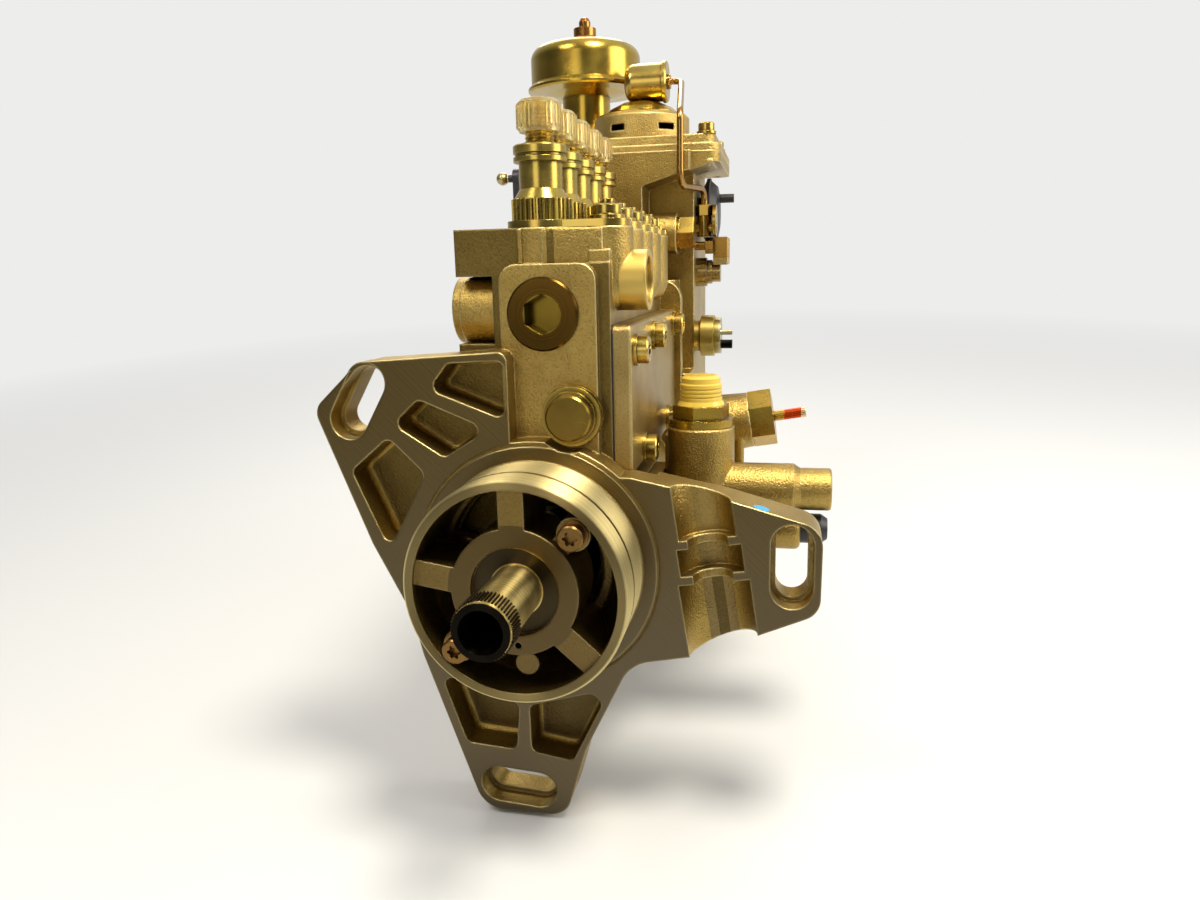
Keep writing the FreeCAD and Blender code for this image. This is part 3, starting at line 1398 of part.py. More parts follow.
def load_switch():
    start = V(gov_right, switch_y, switch_z)
    body = turned([(0, 0), (switch_r - 3, 0), (switch_r - 3, 3), (switch_r, 4), (switch_r, switch_len - 4),
                   (switch_r - 1.5, switch_len - 3.4), (switch_r - 1.5, switch_len), (0, switch_len)],
                  start, AXIS_X)
    prongs = [rod(1.6, 7, start + V(switch_len - 0.5, 0, 2.0), AXIS_X),
              rod(2.6, 7, start + V(switch_len - 0.5, 0, -5.0), AXIS_X)]
    return fused([body] + prongs)


def throttle_lever():
    # shaft through the left wall, arm outside with its ball stud, short arm inside
    axis_point = V(throttle_x, throttle_y, throttle_z)
    arm_top = throttle_z + throttle_arm
    shaft = rod(throttle_shaft_r, gov_left + gov_wall + 8 - throttle_x, axis_point, AXIS_X)
    hub = rod(throttle_shaft_r + 4, throttle_thick, axis_point, AXIS_X)
    arm = block(throttle_x, throttle_x + throttle_thick, throttle_y - 5, throttle_y + 5, throttle_z, arm_top)
    eye = rod(6.0, throttle_thick, V(throttle_x, throttle_y, arm_top), AXIS_X)
    neck = rod(2.4, 5, V(throttle_x - 4.5, throttle_y, arm_top), AXIS_X)
    ball = Part.makeSphere(4.0, V(throttle_x - 8, throttle_y, arm_top))
    inner_x = gov_left + gov_wall + 1
    inner = block(inner_x, inner_x + 5, throttle_y - 4, throttle_y + 4, throttle_z - 26, throttle_z)
    inner_hub = rod(throttle_shaft_r + 3, 5, V(inner_x, throttle_y, throttle_z), AXIS_X)
    return fused([shaft, hub, arm, eye, neck, ball, inner, inner_hub])


def governor_hub():
    # carrier on the camshaft end with two pairs of ears for the weights
    hub = ring(weight_pivot_r + 2, shaft_end_r + 0.01, hub_plate_thick, V(0, hub_front_y, 0), AXIS_Y)
    core = ring(shaft_end_r + 3, shaft_end_r + 0.01, 10, V(0, hub_front_y, 0), AXIS_Y)
    ear_x = weight_thick / 2 + free_gap
    ears = []
    pins = []
    for side in (1, -1):
        z = side * weight_pivot_r
        for x in (-ear_x - 3, ear_x):
            ears.append(block(x, x + 3, hub_front_y + 1, weight_pivot_y + 4,
                              min(z, z - side * 4), max(z, z - side * 4)))
            ears.append(rod(4.0, 3, V(x, weight_pivot_y, z), AXIS_X))
            ears.append(block(x, x + 3, hub_front_y, hub_front_y + hub_plate_thick, -abs(z), abs(z)))
        pins.append(rod(2.0, 2 * ear_x + 6, V(-ear_x - 3, weight_pivot_y, z), AXIS_X))
    bore = rod(shaft_end_r + 0.01, 20, V(0, hub_front_y - 1, 0), AXIS_Y)
    carrier = fused([hub, core] + ears).cut(pins + [bore])
    return [carrier] + pins


def flyweight(side):
    # bell-crank weight: heavy tail beyond the pivot, toe that pushes the sleeve
    r = weight_pivot_r
    y = weight_pivot_y
    x = -weight_thick / 2
    mass = block(x, x + weight_thick, y + 4, y + 4 + weight_len, r - 3, weight_outer_r - 4)
    knee = rod(5.0, weight_thick, V(x, y, r), AXIS_X)
    bridge = block(x, x + weight_thick, y, y + 6, r, r + 6)
    toe = block(x + 2, x + weight_thick - 2, y + 1, y + 5, shaft_end_r + 0.6, r)
    solid = fused([mass, knee, bridge, toe])
    solid = solid.cut(rod(2.0 + running_gap, weight_thick + 2, V(x - 1, y, r), AXIS_X))
    if side < 0:
        solid.rotate(V(0, 0, 0), AXIS_Y, 180)
    return solid


def governor_sleeve():
    bore = shaft_end_r + running_gap
    start = weight_pivot_y + 5 + free_gap
    profile = [(bore, start), (gov_sleeve_r, start), (gov_sleeve_r, start + 3), (bore + 2, start + 3),
               (bore + 2, start + gov_sleeve_len), (0, start + gov_sleeve_len), (0, start + gov_sleeve_len - 3),
               (bore, start + gov_sleeve_len - 3)]
    return turned(profile, V(0, 0, 0), AXIS_Y)


def governor_lever():
    # upright lever on a cross shaft, forked round the rack's pin
    shaft = rod(lever_shaft_r, gov_right - gov_left - 4, V(gov_left + 2, lever_y, lever_pivot_z), AXIS_X)
    x = lever_x
    plate = block(x, x + lever_thick, lever_y - 5, lever_y + 5, lever_pivot_z, rack_z + 6)
    eye = rod(8.0, lever_thick, V(x, lever_y, lever_pivot_z), AXIS_X)
    slot_half = lever_pin_r + 0.15
    slot = block(x - 1, x + lever_thick + 1, lever_y - slot_half, lever_y + slot_half, rack_z - 5, rack_z + 8)
    foot = block(-6, x + 1, lever_y - 10, lever_y + 3, -4, 4)
    plate = fused([plate, eye, foot]).cut([slot, shaft])
    return [plate, shaft]


def side_unit_way():
    tilt = math.radians(side_unit_tilt)
    return V(math.cos(tilt), 0, math.sin(tilt))


def feed_barrel():
    # horizontal barrel of the piston, stepped down past the tower and rounded at its end
    root_x = chamber_outer_r + 2
    profile = [(0, root_x), (feed_root_r, root_x), (feed_root_r, feed_root_end),
               (feed_barrel_r, feed_root_end + 4), (feed_barrel_r, feed_barrel_end), (0, feed_barrel_end)]
    barrel = turned(profile, V(0, feed_y, 0), AXIS_X)
    end = circle_edges(barrel, feed_barrel_r, V(feed_barrel_end, feed_y, 0))
    return barrel.makeFillet(feed_barrel_round, end)


def feed_arm():
    # side arm with the port, its end stepped down and its rim rounded
    length = port_end_x - chamber_x
    step = port_step_x - chamber_x
    profile = [(0, 0), (port_r, 0), (port_r, step), (port_end_r, step + 3), (port_end_r, length), (0, length)]
    start = V(chamber_x, feed_y, port_z)
    arm = turned(profile, start, AXIS_X)
    return arm.makeFillet(1.2, circle_edges(arm, port_end_r, start + V(length, 0, 0)))


def feed_tower():
    tower = rod(feed_tower_r, feed_tower_top + 2, V(chamber_x, feed_y, -2), AXIS_Z)
    top = circle_edges(tower, feed_tower_r, V(chamber_x, feed_y, feed_tower_top))
    return tower.makeChamfer(0.8, top)


def feed_side_unit():
    # tilted valve housing behind the tower, with the web that joins it
    root = V(side_unit_x, side_unit_y, side_unit_z)
    unit = Part.makeCone(side_unit_r + 1.2, side_unit_r - 1.0, side_unit_len, root, side_unit_way())
    bridge = block(side_unit_x - 6, side_unit_x + 14, feed_y + 3, side_unit_y + 1,
                   port_z - 5.5, side_unit_z + 3)
    foot = block(side_unit_x - 7, side_unit_x + 8, side_unit_y - 12, side_unit_y + 12,
                 side_unit_z - 12.5, side_unit_z + 10.5)
    strut_x = side_unit_x + side_unit_len - 6
    strut_y = side_unit_y - 10
    strut = rod(2.6, side_unit_z - port_z + 2, V(strut_x, strut_y, port_z - 1), AXIS_Z)
    strut_foot = rod(3.0, strut_y - feed_y + 1, V(strut_x, feed_y, port_z), AXIS_Y)
    return [unit, bridge, foot, strut, strut_foot]


def feed_pump_body():
    flange = side_prism(rectangle(feed_y - 24, feed_y + 24, -20, 26, 8),
                        chamber_outer_r + free_gap, chamber_outer_r + feed_flange_thick)
    whole = fused([flange, feed_barrel(), feed_tower(), feed_arm()] + feed_side_unit())
    cuts = [rod(feed_bore_r, feed_barrel_end, V(feed_piston_x - 6, feed_y, 0), AXIS_X)]
    cuts.append(rod(feed_rod_r + running_gap, 60, V(chamber_outer_r - 2, feed_y, 0), AXIS_X))
    cuts.append(rod(feed_tower_bore_r, 30, V(chamber_x, feed_y, feed_tower_top - 20), AXIS_Z))
    cuts.append(rod(port_bore_r, port_bore_len + 1, V(port_end_x - port_bore_len, feed_y, port_z), AXIS_X))
    for dy in (-18, 18):
        for z in (-13, 19):
            cuts.append(rod(screw_r, 20, V(chamber_outer_r - 1, feed_y + dy, z), AXIS_X))
    return whole.cut(cuts)


def feed_pump_fittings():
    # flanged hexagon on the tower, hexagon with its stem on the side unit
    top = feed_tower_top
    seat_top = top + feed_collar_thick
    shank_r = feed_tower_bore_r - 0.1
    collar = turned([(shank_r, top - 12), (shank_r, top), (feed_collar_r, top), (feed_collar_r, seat_top),
                     (0, seat_top), (0, top - 12)], V(chamber_x, feed_y, 0), AXIS_Z)
    head = hexagon(feed_hex, feed_hex_len, V(chamber_x, feed_y, seat_top - 0.5), AXIS_Z, 20)
    way = side_unit_way()
    root = V(side_unit_x, side_unit_y, side_unit_z) + way * side_unit_len
    side = hexagon(side_hex, side_hex_len, root, way)
    stem = rod(stem_r, stem_len, root + way * (side_hex_len - 0.5), way)
    return [fused([collar, head]), fused([side, stem])]


def feed_end_plug():
    # dark screw plug that closes the piston's bore
    seat = feed_barrel_end
    plug_end = seat + feed_end_plug_len
    thread_r = feed_bore_r - 0.02
    profile = [(0, seat - 8), (thread_r, seat - 8), (thread_r, seat), (feed_end_plug_r, seat),
               (feed_end_plug_r, plug_end - 3), (feed_end_plug_r - 2, plug_end), (0, plug_end)]
    return turned(profile, V(0, feed_y, 0), AXIS_X)


def feed_plug_cap():
    base = feed_tower_top + feed_collar_thick + feed_hex_len - 0.5
    profile = [(0, base), (feed_plug_r + 1.2, base), (feed_plug_r, base + 2.0)]
    for i in range(3):
        groove = base + 3.4 + 1.8 * i
        profile = profile + [(feed_plug_r, groove), (feed_plug_r - 0.4, groove + 0.3),
                             (feed_plug_r - 0.4, groove + 0.6), (feed_plug_r, groove + 0.9)]
    profile = profile + [(feed_plug_r, feed_plug_top - 4), (feed_plug_r - 0.7, feed_plug_top - 3.4),
                         (feed_plug_r - 0.7, feed_plug_top - 1.2), (feed_plug_r - 2.4, feed_plug_top),
                         (0, feed_plug_top)]
    return turned(profile, V(chamber_x, feed_y, 0), AXIS_Z)


def feed_piston():
    # piston with its push rod, the roller end just clear of the eccentric
    near = eccentric_r + eccentric_throw + cam_clear
    push = rod(feed_rod_r, feed_piston_x - near, V(near, feed_y, 0), AXIS_X)
    head = rod(feed_bore_r - sliding_gap, feed_piston_len, V(feed_piston_x, feed_y, 0), AXIS_X)
    cup_r = feed_spring_r + feed_spring_wire + free_gap
    cup = rod(cup_r, 5, V(feed_piston_x + feed_piston_len - 5, feed_y, 0), AXIS_X)
    return fused([push, head]).cut(cup)


def feed_spring():
    start = feed_piston_x + feed_piston_len - 5
    length = feed_barrel_end - 8 - feed_travel - free_gap - start
    return spring(feed_spring_r, feed_spring_wire, length, feed_spring_turns, V(start, feed_y, 0), AXIS_X)


def plunger_spring(y):
    start = tappet_top_z + plunger_foot_thick + seat_lift + lower_seat_thick
    length = ledge_web_z - start
    return spring(plunger_spring_r, plunger_spring_wire, length, plunger_spring_turns, V(0, y, start), AXIS_Z)


def valve_springs():
    start = valve_seat_z + 1
    length = holder_room_top - 3 - start
    springs = []
    for y in cyl_y:
        springs.append(spring(valve_spring_r, valve_spring_wire, length, valve_spring_turns,
                              V(0, y, start), AXIS_Z))
    return springs


def build():
    os.makedirs("parts", exist_ok=True)
    save("pump_housing", [pump_housing()])
    save("bearing_outer_rings", bearing_outer_rings())
    save("bearing_retainer", [bearing_retainer()])
    save("torx_screws", screws())
    save("seals", seals())
    save("side_cover", [side_cover()])
    save("front_plugs", [gallery_plug(), rack_end_cap()])
    save("element_plate", [element_plate()])
    save("element_nuts", element_nuts())
    save("flanged_barrels", [flanged_barrel(y) for y in cyl_y])
    save("valve_holders", [valve_holder(y) for y in cyl_y])
    save("protective_caps", [outlet_cap(y) for y in cyl_y] + [feed_plug_cap()])
    save("valve_springs", valve_springs())
    save("delivery_valves", [delivery_valve(y) for y in cyl_y])
    for i, y in enumerate(cyl_y):
        number = str(i + 1)
        save("tappet_" + number, tappet(y))
        save("plunger_" + number, [plunger(y)])
        save("control_sleeve_" + number, [control_sleeve(y)])
        save("plunger_spring_" + number, [plunger_spring(y)])
    save("camshaft", [camshaft()])
    save("bearing_inner_rings", bearing_inner_rings())
    save("control_rack", control_rack())
    save("governor_housing", [governor_housing()])
    save("governor_cover", [governor_cover()])
    save("governor_lid", [governor_lid()])
    save("turret_dome", [turret_dome()])
    save("idle_unit", [idle_unit()])
    save("vacuum_pipe", [vacuum_pipe()])
    save("capsule_can", [capsule_can()])
    save("capsule_adjuster", capsule_adjuster())
    save("shutoff_unit", [shutoff_unit()])
    save("shutoff_rod", [shutoff_rod()])
    save("fittings", fittings())
    save("load_switch", [load_switch()])
    save("throttle_lever", [throttle_lever()])
    save("governor_hub", governor_hub())
    save("flyweight_1", [flyweight(1)])
    save("flyweight_2", [flyweight(-1)])
    save("governor_sleeve", [governor_sleeve()])
    save("governor_lever", governor_lever())
    save("feed_pump_body", [feed_pump_body()])
    save("feed_pump_fittings", feed_pump_fittings())
    save("feed_end_plug", [feed_end_plug()])
    save("feed_piston", [feed_piston()])
    save("feed_spring", [feed_spring()])


build()
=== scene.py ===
import bpy
import math
from mathutils import Matrix, Vector


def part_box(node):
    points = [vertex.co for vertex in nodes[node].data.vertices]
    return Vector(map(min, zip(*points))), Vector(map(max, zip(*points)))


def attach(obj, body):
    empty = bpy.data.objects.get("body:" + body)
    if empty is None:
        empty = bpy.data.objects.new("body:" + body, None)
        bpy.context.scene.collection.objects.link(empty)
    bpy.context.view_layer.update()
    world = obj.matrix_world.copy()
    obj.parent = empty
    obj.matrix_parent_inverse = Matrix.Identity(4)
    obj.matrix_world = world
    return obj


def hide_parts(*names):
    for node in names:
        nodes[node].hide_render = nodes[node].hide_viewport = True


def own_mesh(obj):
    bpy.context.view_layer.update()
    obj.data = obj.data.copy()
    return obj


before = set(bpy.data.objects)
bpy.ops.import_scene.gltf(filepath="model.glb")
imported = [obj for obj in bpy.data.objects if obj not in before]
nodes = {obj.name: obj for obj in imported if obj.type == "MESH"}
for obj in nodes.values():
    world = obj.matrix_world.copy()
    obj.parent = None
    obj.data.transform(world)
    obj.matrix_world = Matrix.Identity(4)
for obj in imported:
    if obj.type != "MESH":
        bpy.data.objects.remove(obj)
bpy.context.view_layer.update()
print("frame loaded:", len(nodes), "nodes")

# Node helpers


def hexColour(code):
    # sRGB hex to the linear values that Blender's sockets hold
    linear = []
    for i in (0, 2, 4):
        level = int(code[i:i + 2], 16) / 255
        linear.append(level / 12.92 if level <= 0.04045 else ((level + 0.055) / 1.055) ** 2.4)
    return (*linear, 1.0)


def addNode(tree, kind, settings, wires):
    node = tree.nodes.new(kind)
    for name, value in settings.items():
        setattr(node, name, value)
    for socket, value in wires.items():
        if isinstance(value, bpy.types.NodeSocket):
            tree.links.new(value, node.inputs[socket])
        elif isinstance(value, str):
            node.inputs[socket].default_value = hexColour(value)
        else:
            node.inputs[socket].default_value = value
    return node


def startMaterial(name, wires):
    # an empty material with its shader on the output, and the place of each point in the object
    material = bpy.data.materials.new(name)
    material.use_nodes = True
    tree = material.node_tree
    tree.nodes.clear()
    shader = addNode(tree, "ShaderNodeBsdfPrincipled", {}, wires)
    addNode(tree, "ShaderNodeOutputMaterial", {}, {"Surface": shader.outputs[0]})
    place = addNode(tree, "ShaderNodeTexCoord", {}, {})
    return material, tree, shader, place


def noise(tree, place, size, detail=3.0):
    # soft cloud, size in metres
    return addNode(tree, "ShaderNodeTexNoise", {},
                   {"Vector": place.outputs["Object"], "Scale": 1 / size, "Detail": detail}).outputs[0]


def striped(tree, value, width, detail=3.0):
    # fine lines across a value, width in metres
    return addNode(tree, "ShaderNodeTexNoise", {"noise_dimensions": "1D"},
                   {"W": value, "Scale": 1 / width, "Detail": detail}).outputs[0]


def ranged(tree, value, low, high, start=0.0, end=1.0):
    return addNode(tree, "ShaderNodeMapRange", {}, {0: value, 1: low, 2: high, 3: start, 4: end}).outputs[0]


def calculated(tree, operation, first, second=0.0):
    return addNode(tree, "ShaderNodeMath", {"operation": operation}, {0: first, 1: second}).outputs[0]


def times(tree, first, second):
    return calculated(tree, "MULTIPLY", first, second)


def above(tree, value, limit):
    return calculated(tree, "GREATER_THAN", value, limit)


def below(tree, value, limit):
    return calculated(tree, "LESS_THAN", value, limit)


def inverse(tree, share):
    return calculated(tree, "SUBTRACT", 1.0, share)


def between(tree, value, low, high):
    # one inside the band, nought outside
    return addNode(tree, "ShaderNodeMath", {"operation": "COMPARE"},
                   {0: value, 1: (low + high) / 2, 2: (high - low) / 2}).outputs[0]


def vectored(tree, operation, first, second):
    return addNode(tree, "ShaderNodeVectorMath", {"operation": operation}, {0: first, 1: second}).outputs


def toned(tree, share, first, second):
    return addNode(tree, "ShaderNodeMix", {"data_type": "RGBA"}, {0: share, 6: first, 7: second}).outputs[2]


def levelled(tree, share, first, second):
    return addNode(tree, "ShaderNodeMix", {"data_type": "FLOAT"}, {0: share, 2: first, 3: second}).outputs[0]


def axes(tree, place, output="Object"):
    return addNode(tree, "ShaderNodeSeparateXYZ", {}, {0: place.outputs[output]}).outputs


def reachFrom(tree, place, centre, flat=(1.0, 1.0, 1.0)):
    # distance of each point from a centre, or from an axis where flat holds a nought
    moved = vectored(tree, "SUBTRACT", place.outputs["Object"], centre)[0]
    pressed = vectored(tree, "MULTIPLY", moved, flat)[0]
    return addNode(tree, "ShaderNodeVectorMath", {"operation": "LENGTH"}, {0: pressed}).outputs["Value"]


def openness(tree, reach):
    # one in the open, nought in a deep corner
    return addNode(tree, "ShaderNodeAmbientOcclusion", {"samples": 4, "only_local": True},
                   {"Distance": reach}).outputs["AO"]


def softened(tree, radius, samples=4):
    return addNode(tree, "ShaderNodeBevel", {"samples": samples}, {"Radius": radius}).outputs[0]


def bumped(tree, shader, height, strength, depth, normal):
    bump = addNode(tree, "ShaderNodeBump", {},
                   {"Strength": strength, "Distance": depth, "Height": height, "Normal": normal})
    tree.links.new(bump.outputs[0], shader.inputs["Normal"])


def lathed(tree, place, shader, centre, axis, share):
    # light drawn out across the turning marks round an axis
    moved = vectored(tree, "SUBTRACT", place.outputs["Object"], centre)[0]
    around = vectored(tree, "CROSS_PRODUCT", axis, moved)[0]
    across = vectored(tree, "CROSS_PRODUCT", place.outputs["Normal"], around)[0]
    tree.links.new(across, shader.inputs["Tangent"])
    if isinstance(share, float):
        shader.inputs["Anisotropic"].default_value = share
    else:
        tree.links.new(share, shader.inputs["Anisotropic"])


def dress(material, *names):
    for name in names:
        for slot in nodes[name].material_slots:
            slot.material = material


# Camera

view = {"place": (0.0968, -0.3267, 0.1171), "yaw": 11.9, "pitch": -11.5, "roll": -1.3,
        "focal": 872.4, "imageWidth": 1200, "sensor": 36.0, "nearest": 0.01}


def makeCamera():
    yaw, pitch, roll = (math.radians(view[k]) for k in ("yaw", "pitch", "roll"))
    ahead = Vector((-math.sin(yaw) * math.cos(pitch), math.cos(yaw) * math.cos(pitch), math.sin(pitch)))
    across = ahead.cross(Vector((0, 0, 1))).normalized()
    upright = across.cross(ahead)
    right = math.cos(roll) * across + math.sin(roll) * upright
    up = -math.sin(roll) * across + math.cos(roll) * upright
    turn = Matrix((right, up, -ahead)).transposed()
    data = bpy.data.cameras.new("viewCamera")
    data.sensor_width = view["sensor"]
    data.lens = view["focal"] * view["sensor"] / view["imageWidth"]
    data.clip_start = view["nearest"]
    camera = bpy.data.objects.new("viewCamera", data)
    camera.matrix_world = Matrix.Translation(view["place"]) @ turn.to_4x4()
    bpy.context.scene.collection.objects.link(camera)
    bpy.context.scene.camera = camera


makeCamera()
bpy.context.scene.view_settings.view_transform = "Standard"
print("camera placed")

# Studio

studio = {"floor": "C6C8CA", "floorRough": 0.8, "backdrop": "EDEDEC", "floorSize": 8.0,
          "frontFoot": (0.020, -0.1125), "rearFoot": (0.270, -0.0841),
          "fadeCentre": (0.0, 0.1, 0.0), "fadeFrom": 0.45, "fadeTo": 1.3,
          "skyWay": (0.25, 0.55, 0.80), "skyFrom": -0.1, "skyTo": 0.9, "dimLevel": 0.11, "skyLevel": 1.05,
          "aim": (0.0, 0.10, 0.05)}
lamps = {
    "keyLamp": {"place": (0.26, -0.16, 0.78), "size": 0.26, "power": 8.5, "tint": "FFF6E4"},
    "leftLamp": {"place": (-0.42, -0.42, 0.82), "size": 0.35, "power": 3.8, "tint": "FFF7E8"},
    "frontLamp": {"place": (-0.20, -0.95, 0.30), "size": 0.5, "power": 1.3, "tint": "FFF8EC"},
    "sideLamp": {"place": (1.00, 0.10, 0.50), "size": 0.7, "power": 6.5, "tint": "FFF8EC"},
    "backLamp": {"place": (-0.25, 0.95, 0.95), "size": 0.7, "power": 6.0, "tint": "FFF8EE"}}


def makeFloor():
    # plain pale floor that runs into the backdrop's tone far behind the pump;
    # the pump stands on its lowest lug and on the governor's rear edge
    (frontY, frontZ), (rearY, rearZ) = studio["frontFoot"], studio["rearFoot"]
    slope = math.atan2(rearZ - frontZ, rearY - frontY)
    bpy.ops.mesh.primitive_plane_add(size=studio["floorSize"])
    floor = bpy.context.object
    floor.name = "floor"
    floor.data.transform(Matrix.Translation((0, frontY, frontZ)) @ Matrix.Rotation(slope, 4, "X"))
    material, tree, shader, place = startMaterial(
        "paleFloor", {"Base Color": studio["floor"], "Roughness": studio["floorRough"]})
    glow = addNode(tree, "ShaderNodeEmission", {}, {"Color": studio["backdrop"]})
    fade = ranged(tree, reachFrom(tree, place, studio["fadeCentre"]), studio["fadeFrom"], studio["fadeTo"])
    surface = addNode(tree, "ShaderNodeMixShader", {}, {0: fade, 1: shader.outputs[0], 2: glow.outputs[0]})
    tree.links.new(surface.outputs[0], tree.nodes["Material Output"].inputs["Surface"])
    floor.data.materials.append(material)


def makeWorld():
    # soft surroundings, bright above and behind and dim in front,
    # plain white only where the camera sees them
    world = bpy.data.worlds.new("studioWorld")
    bpy.context.scene.world = world
    world.use_nodes = True
    tree = world.node_tree
    tree.nodes.clear()
    rays = addNode(tree, "ShaderNodeLightPath", {}, {})
    seen = calculated(tree, "MAXIMUM", rays.outputs["Is Camera Ray"], rays.outputs["Is Transmission Ray"])
    place = addNode(tree, "ShaderNodeTexCoord", {}, {})
    toSky = vectored(tree, "DOT_PRODUCT", place.outputs["Generated"], studio["skyWay"])["Value"]
    soft = ranged(tree, toSky, studio["skyFrom"], studio["skyTo"], studio["dimLevel"], studio["skyLevel"])
    level = levelled(tree, seen, soft, 1.0)
    back = addNode(tree, "ShaderNodeBackground", {}, {"Color": studio["backdrop"], "Strength": level})
    addNode(tree, "ShaderNodeOutputWorld", {}, {"Surface": back.outputs[0]})


def makeLamps():
    for name, lamp in lamps.items():
        data = bpy.data.lights.new(name, "AREA")
        data.shape = "DISK"
        data.size = lamp["size"]
        data.energy = lamp["power"]
        data.color = hexColour(lamp["tint"])[:3]
        light = bpy.data.objects.new(name, data)
        place = Vector(lamp["place"])
        aim = Vector(studio["aim"]) - place
        light.matrix_world = Matrix.Translation(place) @ aim.to_track_quat("-Z", "Y").to_matrix().to_4x4()
        bpy.context.scene.collection.objects.link(light)


makeFloor()
makeWorld()
makeLamps()
print("studio ready")

# Cast aluminium; a range holds the value's two ends and what they turn into

# the dark corner colour below is painted shade, the pale edge colour a painted highlight
casting = {"skin": "C0A55C", "skinDark": "866E39", "blotch": 0.018, "blotchDetail": 4.0,
           "grain": 0.0008, "grainDetail": 4.0, "pit": "5E4F2E", "pitRange": (0.50, 0.32, 0.0, 0.4),
           "lump": 0.003, "lumpDetail": 2.0, "lumpShare": 0.4, "relief": 0.85, "reliefDepth": 0.0004,
           "cornerShade": "4A3C1E", "cornerShadeReach": 0.006, "cornerShadeRange": (0.7, 0.1, 0.0, 0.6),
           "edge": "EBDCA2", "edgeRadius": 0.0013, "edgeSamples": 6, "edgeHighlightRange": (0.99, 0.84, 0.0, 0.7),
           "edgeHighlightOpen": (0.6, 0.9), "rough": (0.30, 0.46),
           "milled": "76653F", "milledDark": "524528", "millLine": 0.0007, "millDetail": 2.0,
           "milledRough": 0.34, "milledRelief": 0.03, "faceDepth": 0.0004, "faceTurn": 0.9}


def millFaces(tree, place, spot, faces):
    # one on the listed planes, nought elsewhere
    facing = axes(tree, place, "Normal")
    milled = None
    for axis, value, direction, near, far in faces:
        here = between(tree, spot[axis], value - casting["faceDepth"], value + casting["faceDepth"])
        outward = above(tree, times(tree, facing[axis], direction), casting["faceTurn"])
        flat = tuple(0.0 if i == axis else 1.0 for i in range(3))
        inside = between(tree, reachFrom(tree, place, (0.0, 0.0, 0.0), flat), near, far)
        part = times(tree, times(tree, here, outward), inside)
        milled = part if milled is None else calculated(tree, "MAXIMUM", milled, part)
    return milled


def castAluminium(name, faces=(), skin=casting["skin"], finish=None):
    # blasted sand casting: warm metal with a fine grain, with painted shade in its corners and a painted
    # highlight along its edges; faces lists the planes that are milled smooth and darker (axis, value,
    # direction, nearest and farthest distance from the origin's axis)
    material, tree, shader, place = startMaterial(name, {"Metallic": 1.0})
    spot = axes(tree, place)
    grain = noise(tree, place, casting["grain"], casting["grainDetail"])
    lumps = noise(tree, place, casting["lump"], casting["lumpDetail"])
    blotches = noise(tree, place, casting["blotch"], casting["blotchDetail"])
    colour = toned(tree, blotches, casting["skinDark"], skin)
    colour = toned(tree, ranged(tree, grain, *casting["pitRange"]), colour, casting["pit"])
    relief = calculated(tree, "ADD", grain, times(tree, lumps, casting["lumpShare"]))
    # painted shade: the colour darkens in corners and recesses, where shade falls
    openShare = openness(tree, casting["cornerShadeReach"])
    colour = toned(tree, ranged(tree, openShare, *casting["cornerShadeRange"]), colour, casting["cornerShade"])
    rounded = softened(tree, casting["edgeRadius"], casting["edgeSamples"])
    flatNormal = addNode(tree, "ShaderNodeNewGeometry", {}, {}).outputs["Normal"]
    agree = vectored(tree, "DOT_PRODUCT", rounded, flatNormal)["Value"]
    # painted highlight: a pale colour along open edges, where they catch the light
    edge = times(tree, ranged(tree, agree, *casting["edgeHighlightRange"]),
                 ranged(tree, openShare, *casting["edgeHighlightOpen"]))
    colour = toned(tree, edge, colour, casting["edge"])
    rough = ranged(tree, grain, 0.0, 1.0, *casting["rough"])
    strength = casting["relief"]
    if faces:
        milled = millFaces(tree, place, spot, faces)
        trace = striped(tree, calculated(tree, "ADD", spot[0], spot[2]), casting["millLine"],
                        casting["millDetail"])
        plain = times(tree, milled, inverse(tree, edge))
        colour = toned(tree, plain, colour, toned(tree, trace, casting["milledDark"], casting["milled"]))
        rough = levelled(tree, milled, rough, casting["milledRough"])
        strength = levelled(tree, milled, strength, casting["milledRelief"])
    if finish:
        colour, rough, strength = finish(tree, place, spot, colour, rough, strength, shader)
    tree.links.new(colour, shader.inputs["Base Color"])
    tree.links.new(rough, shader.inputs["Roughness"])
    bumped(tree, shader, relief, strength, casting["reliefDepth"], rounded)
    return material


housing = {"aheadY": -0.0002, "facing": -0.9,
           "pilotNear": 0.04005, "pilotFar": 0.0445, "turned": "E6D69C", "turnedDark": "A59362",
           "turnedFrontShade": "8B7B52", "line": 0.0005, "lineRange": (0.35, 0.65), "turnedRough": 0.52,
           "turnedRelief": 0.04, "drawn": 0.95,
           "grey": "565047", "lowerShadeRange": (0.060, -0.030, 0.0, 0.55), "insideBrown": "5A4621", "insideBrownShare": 0.5,
           "pocketFloor": 0.0138, "pocketBand": 0.0006, "pocketShade": "3F3317", "pocketShare": 0.65,
           "inlet": (0.0, 0.0320, 0.1138), "inletR": 0.0126, "inletFrom": 0.0330, "inletTurned": "C2A75A",
           "inletRough": 0.42, "inletRelief": 0.03,
           "paint": "2F8FC4", "paintPlace": (0.0905, 0.004, 0.0272), "paintReach": 0.0032}


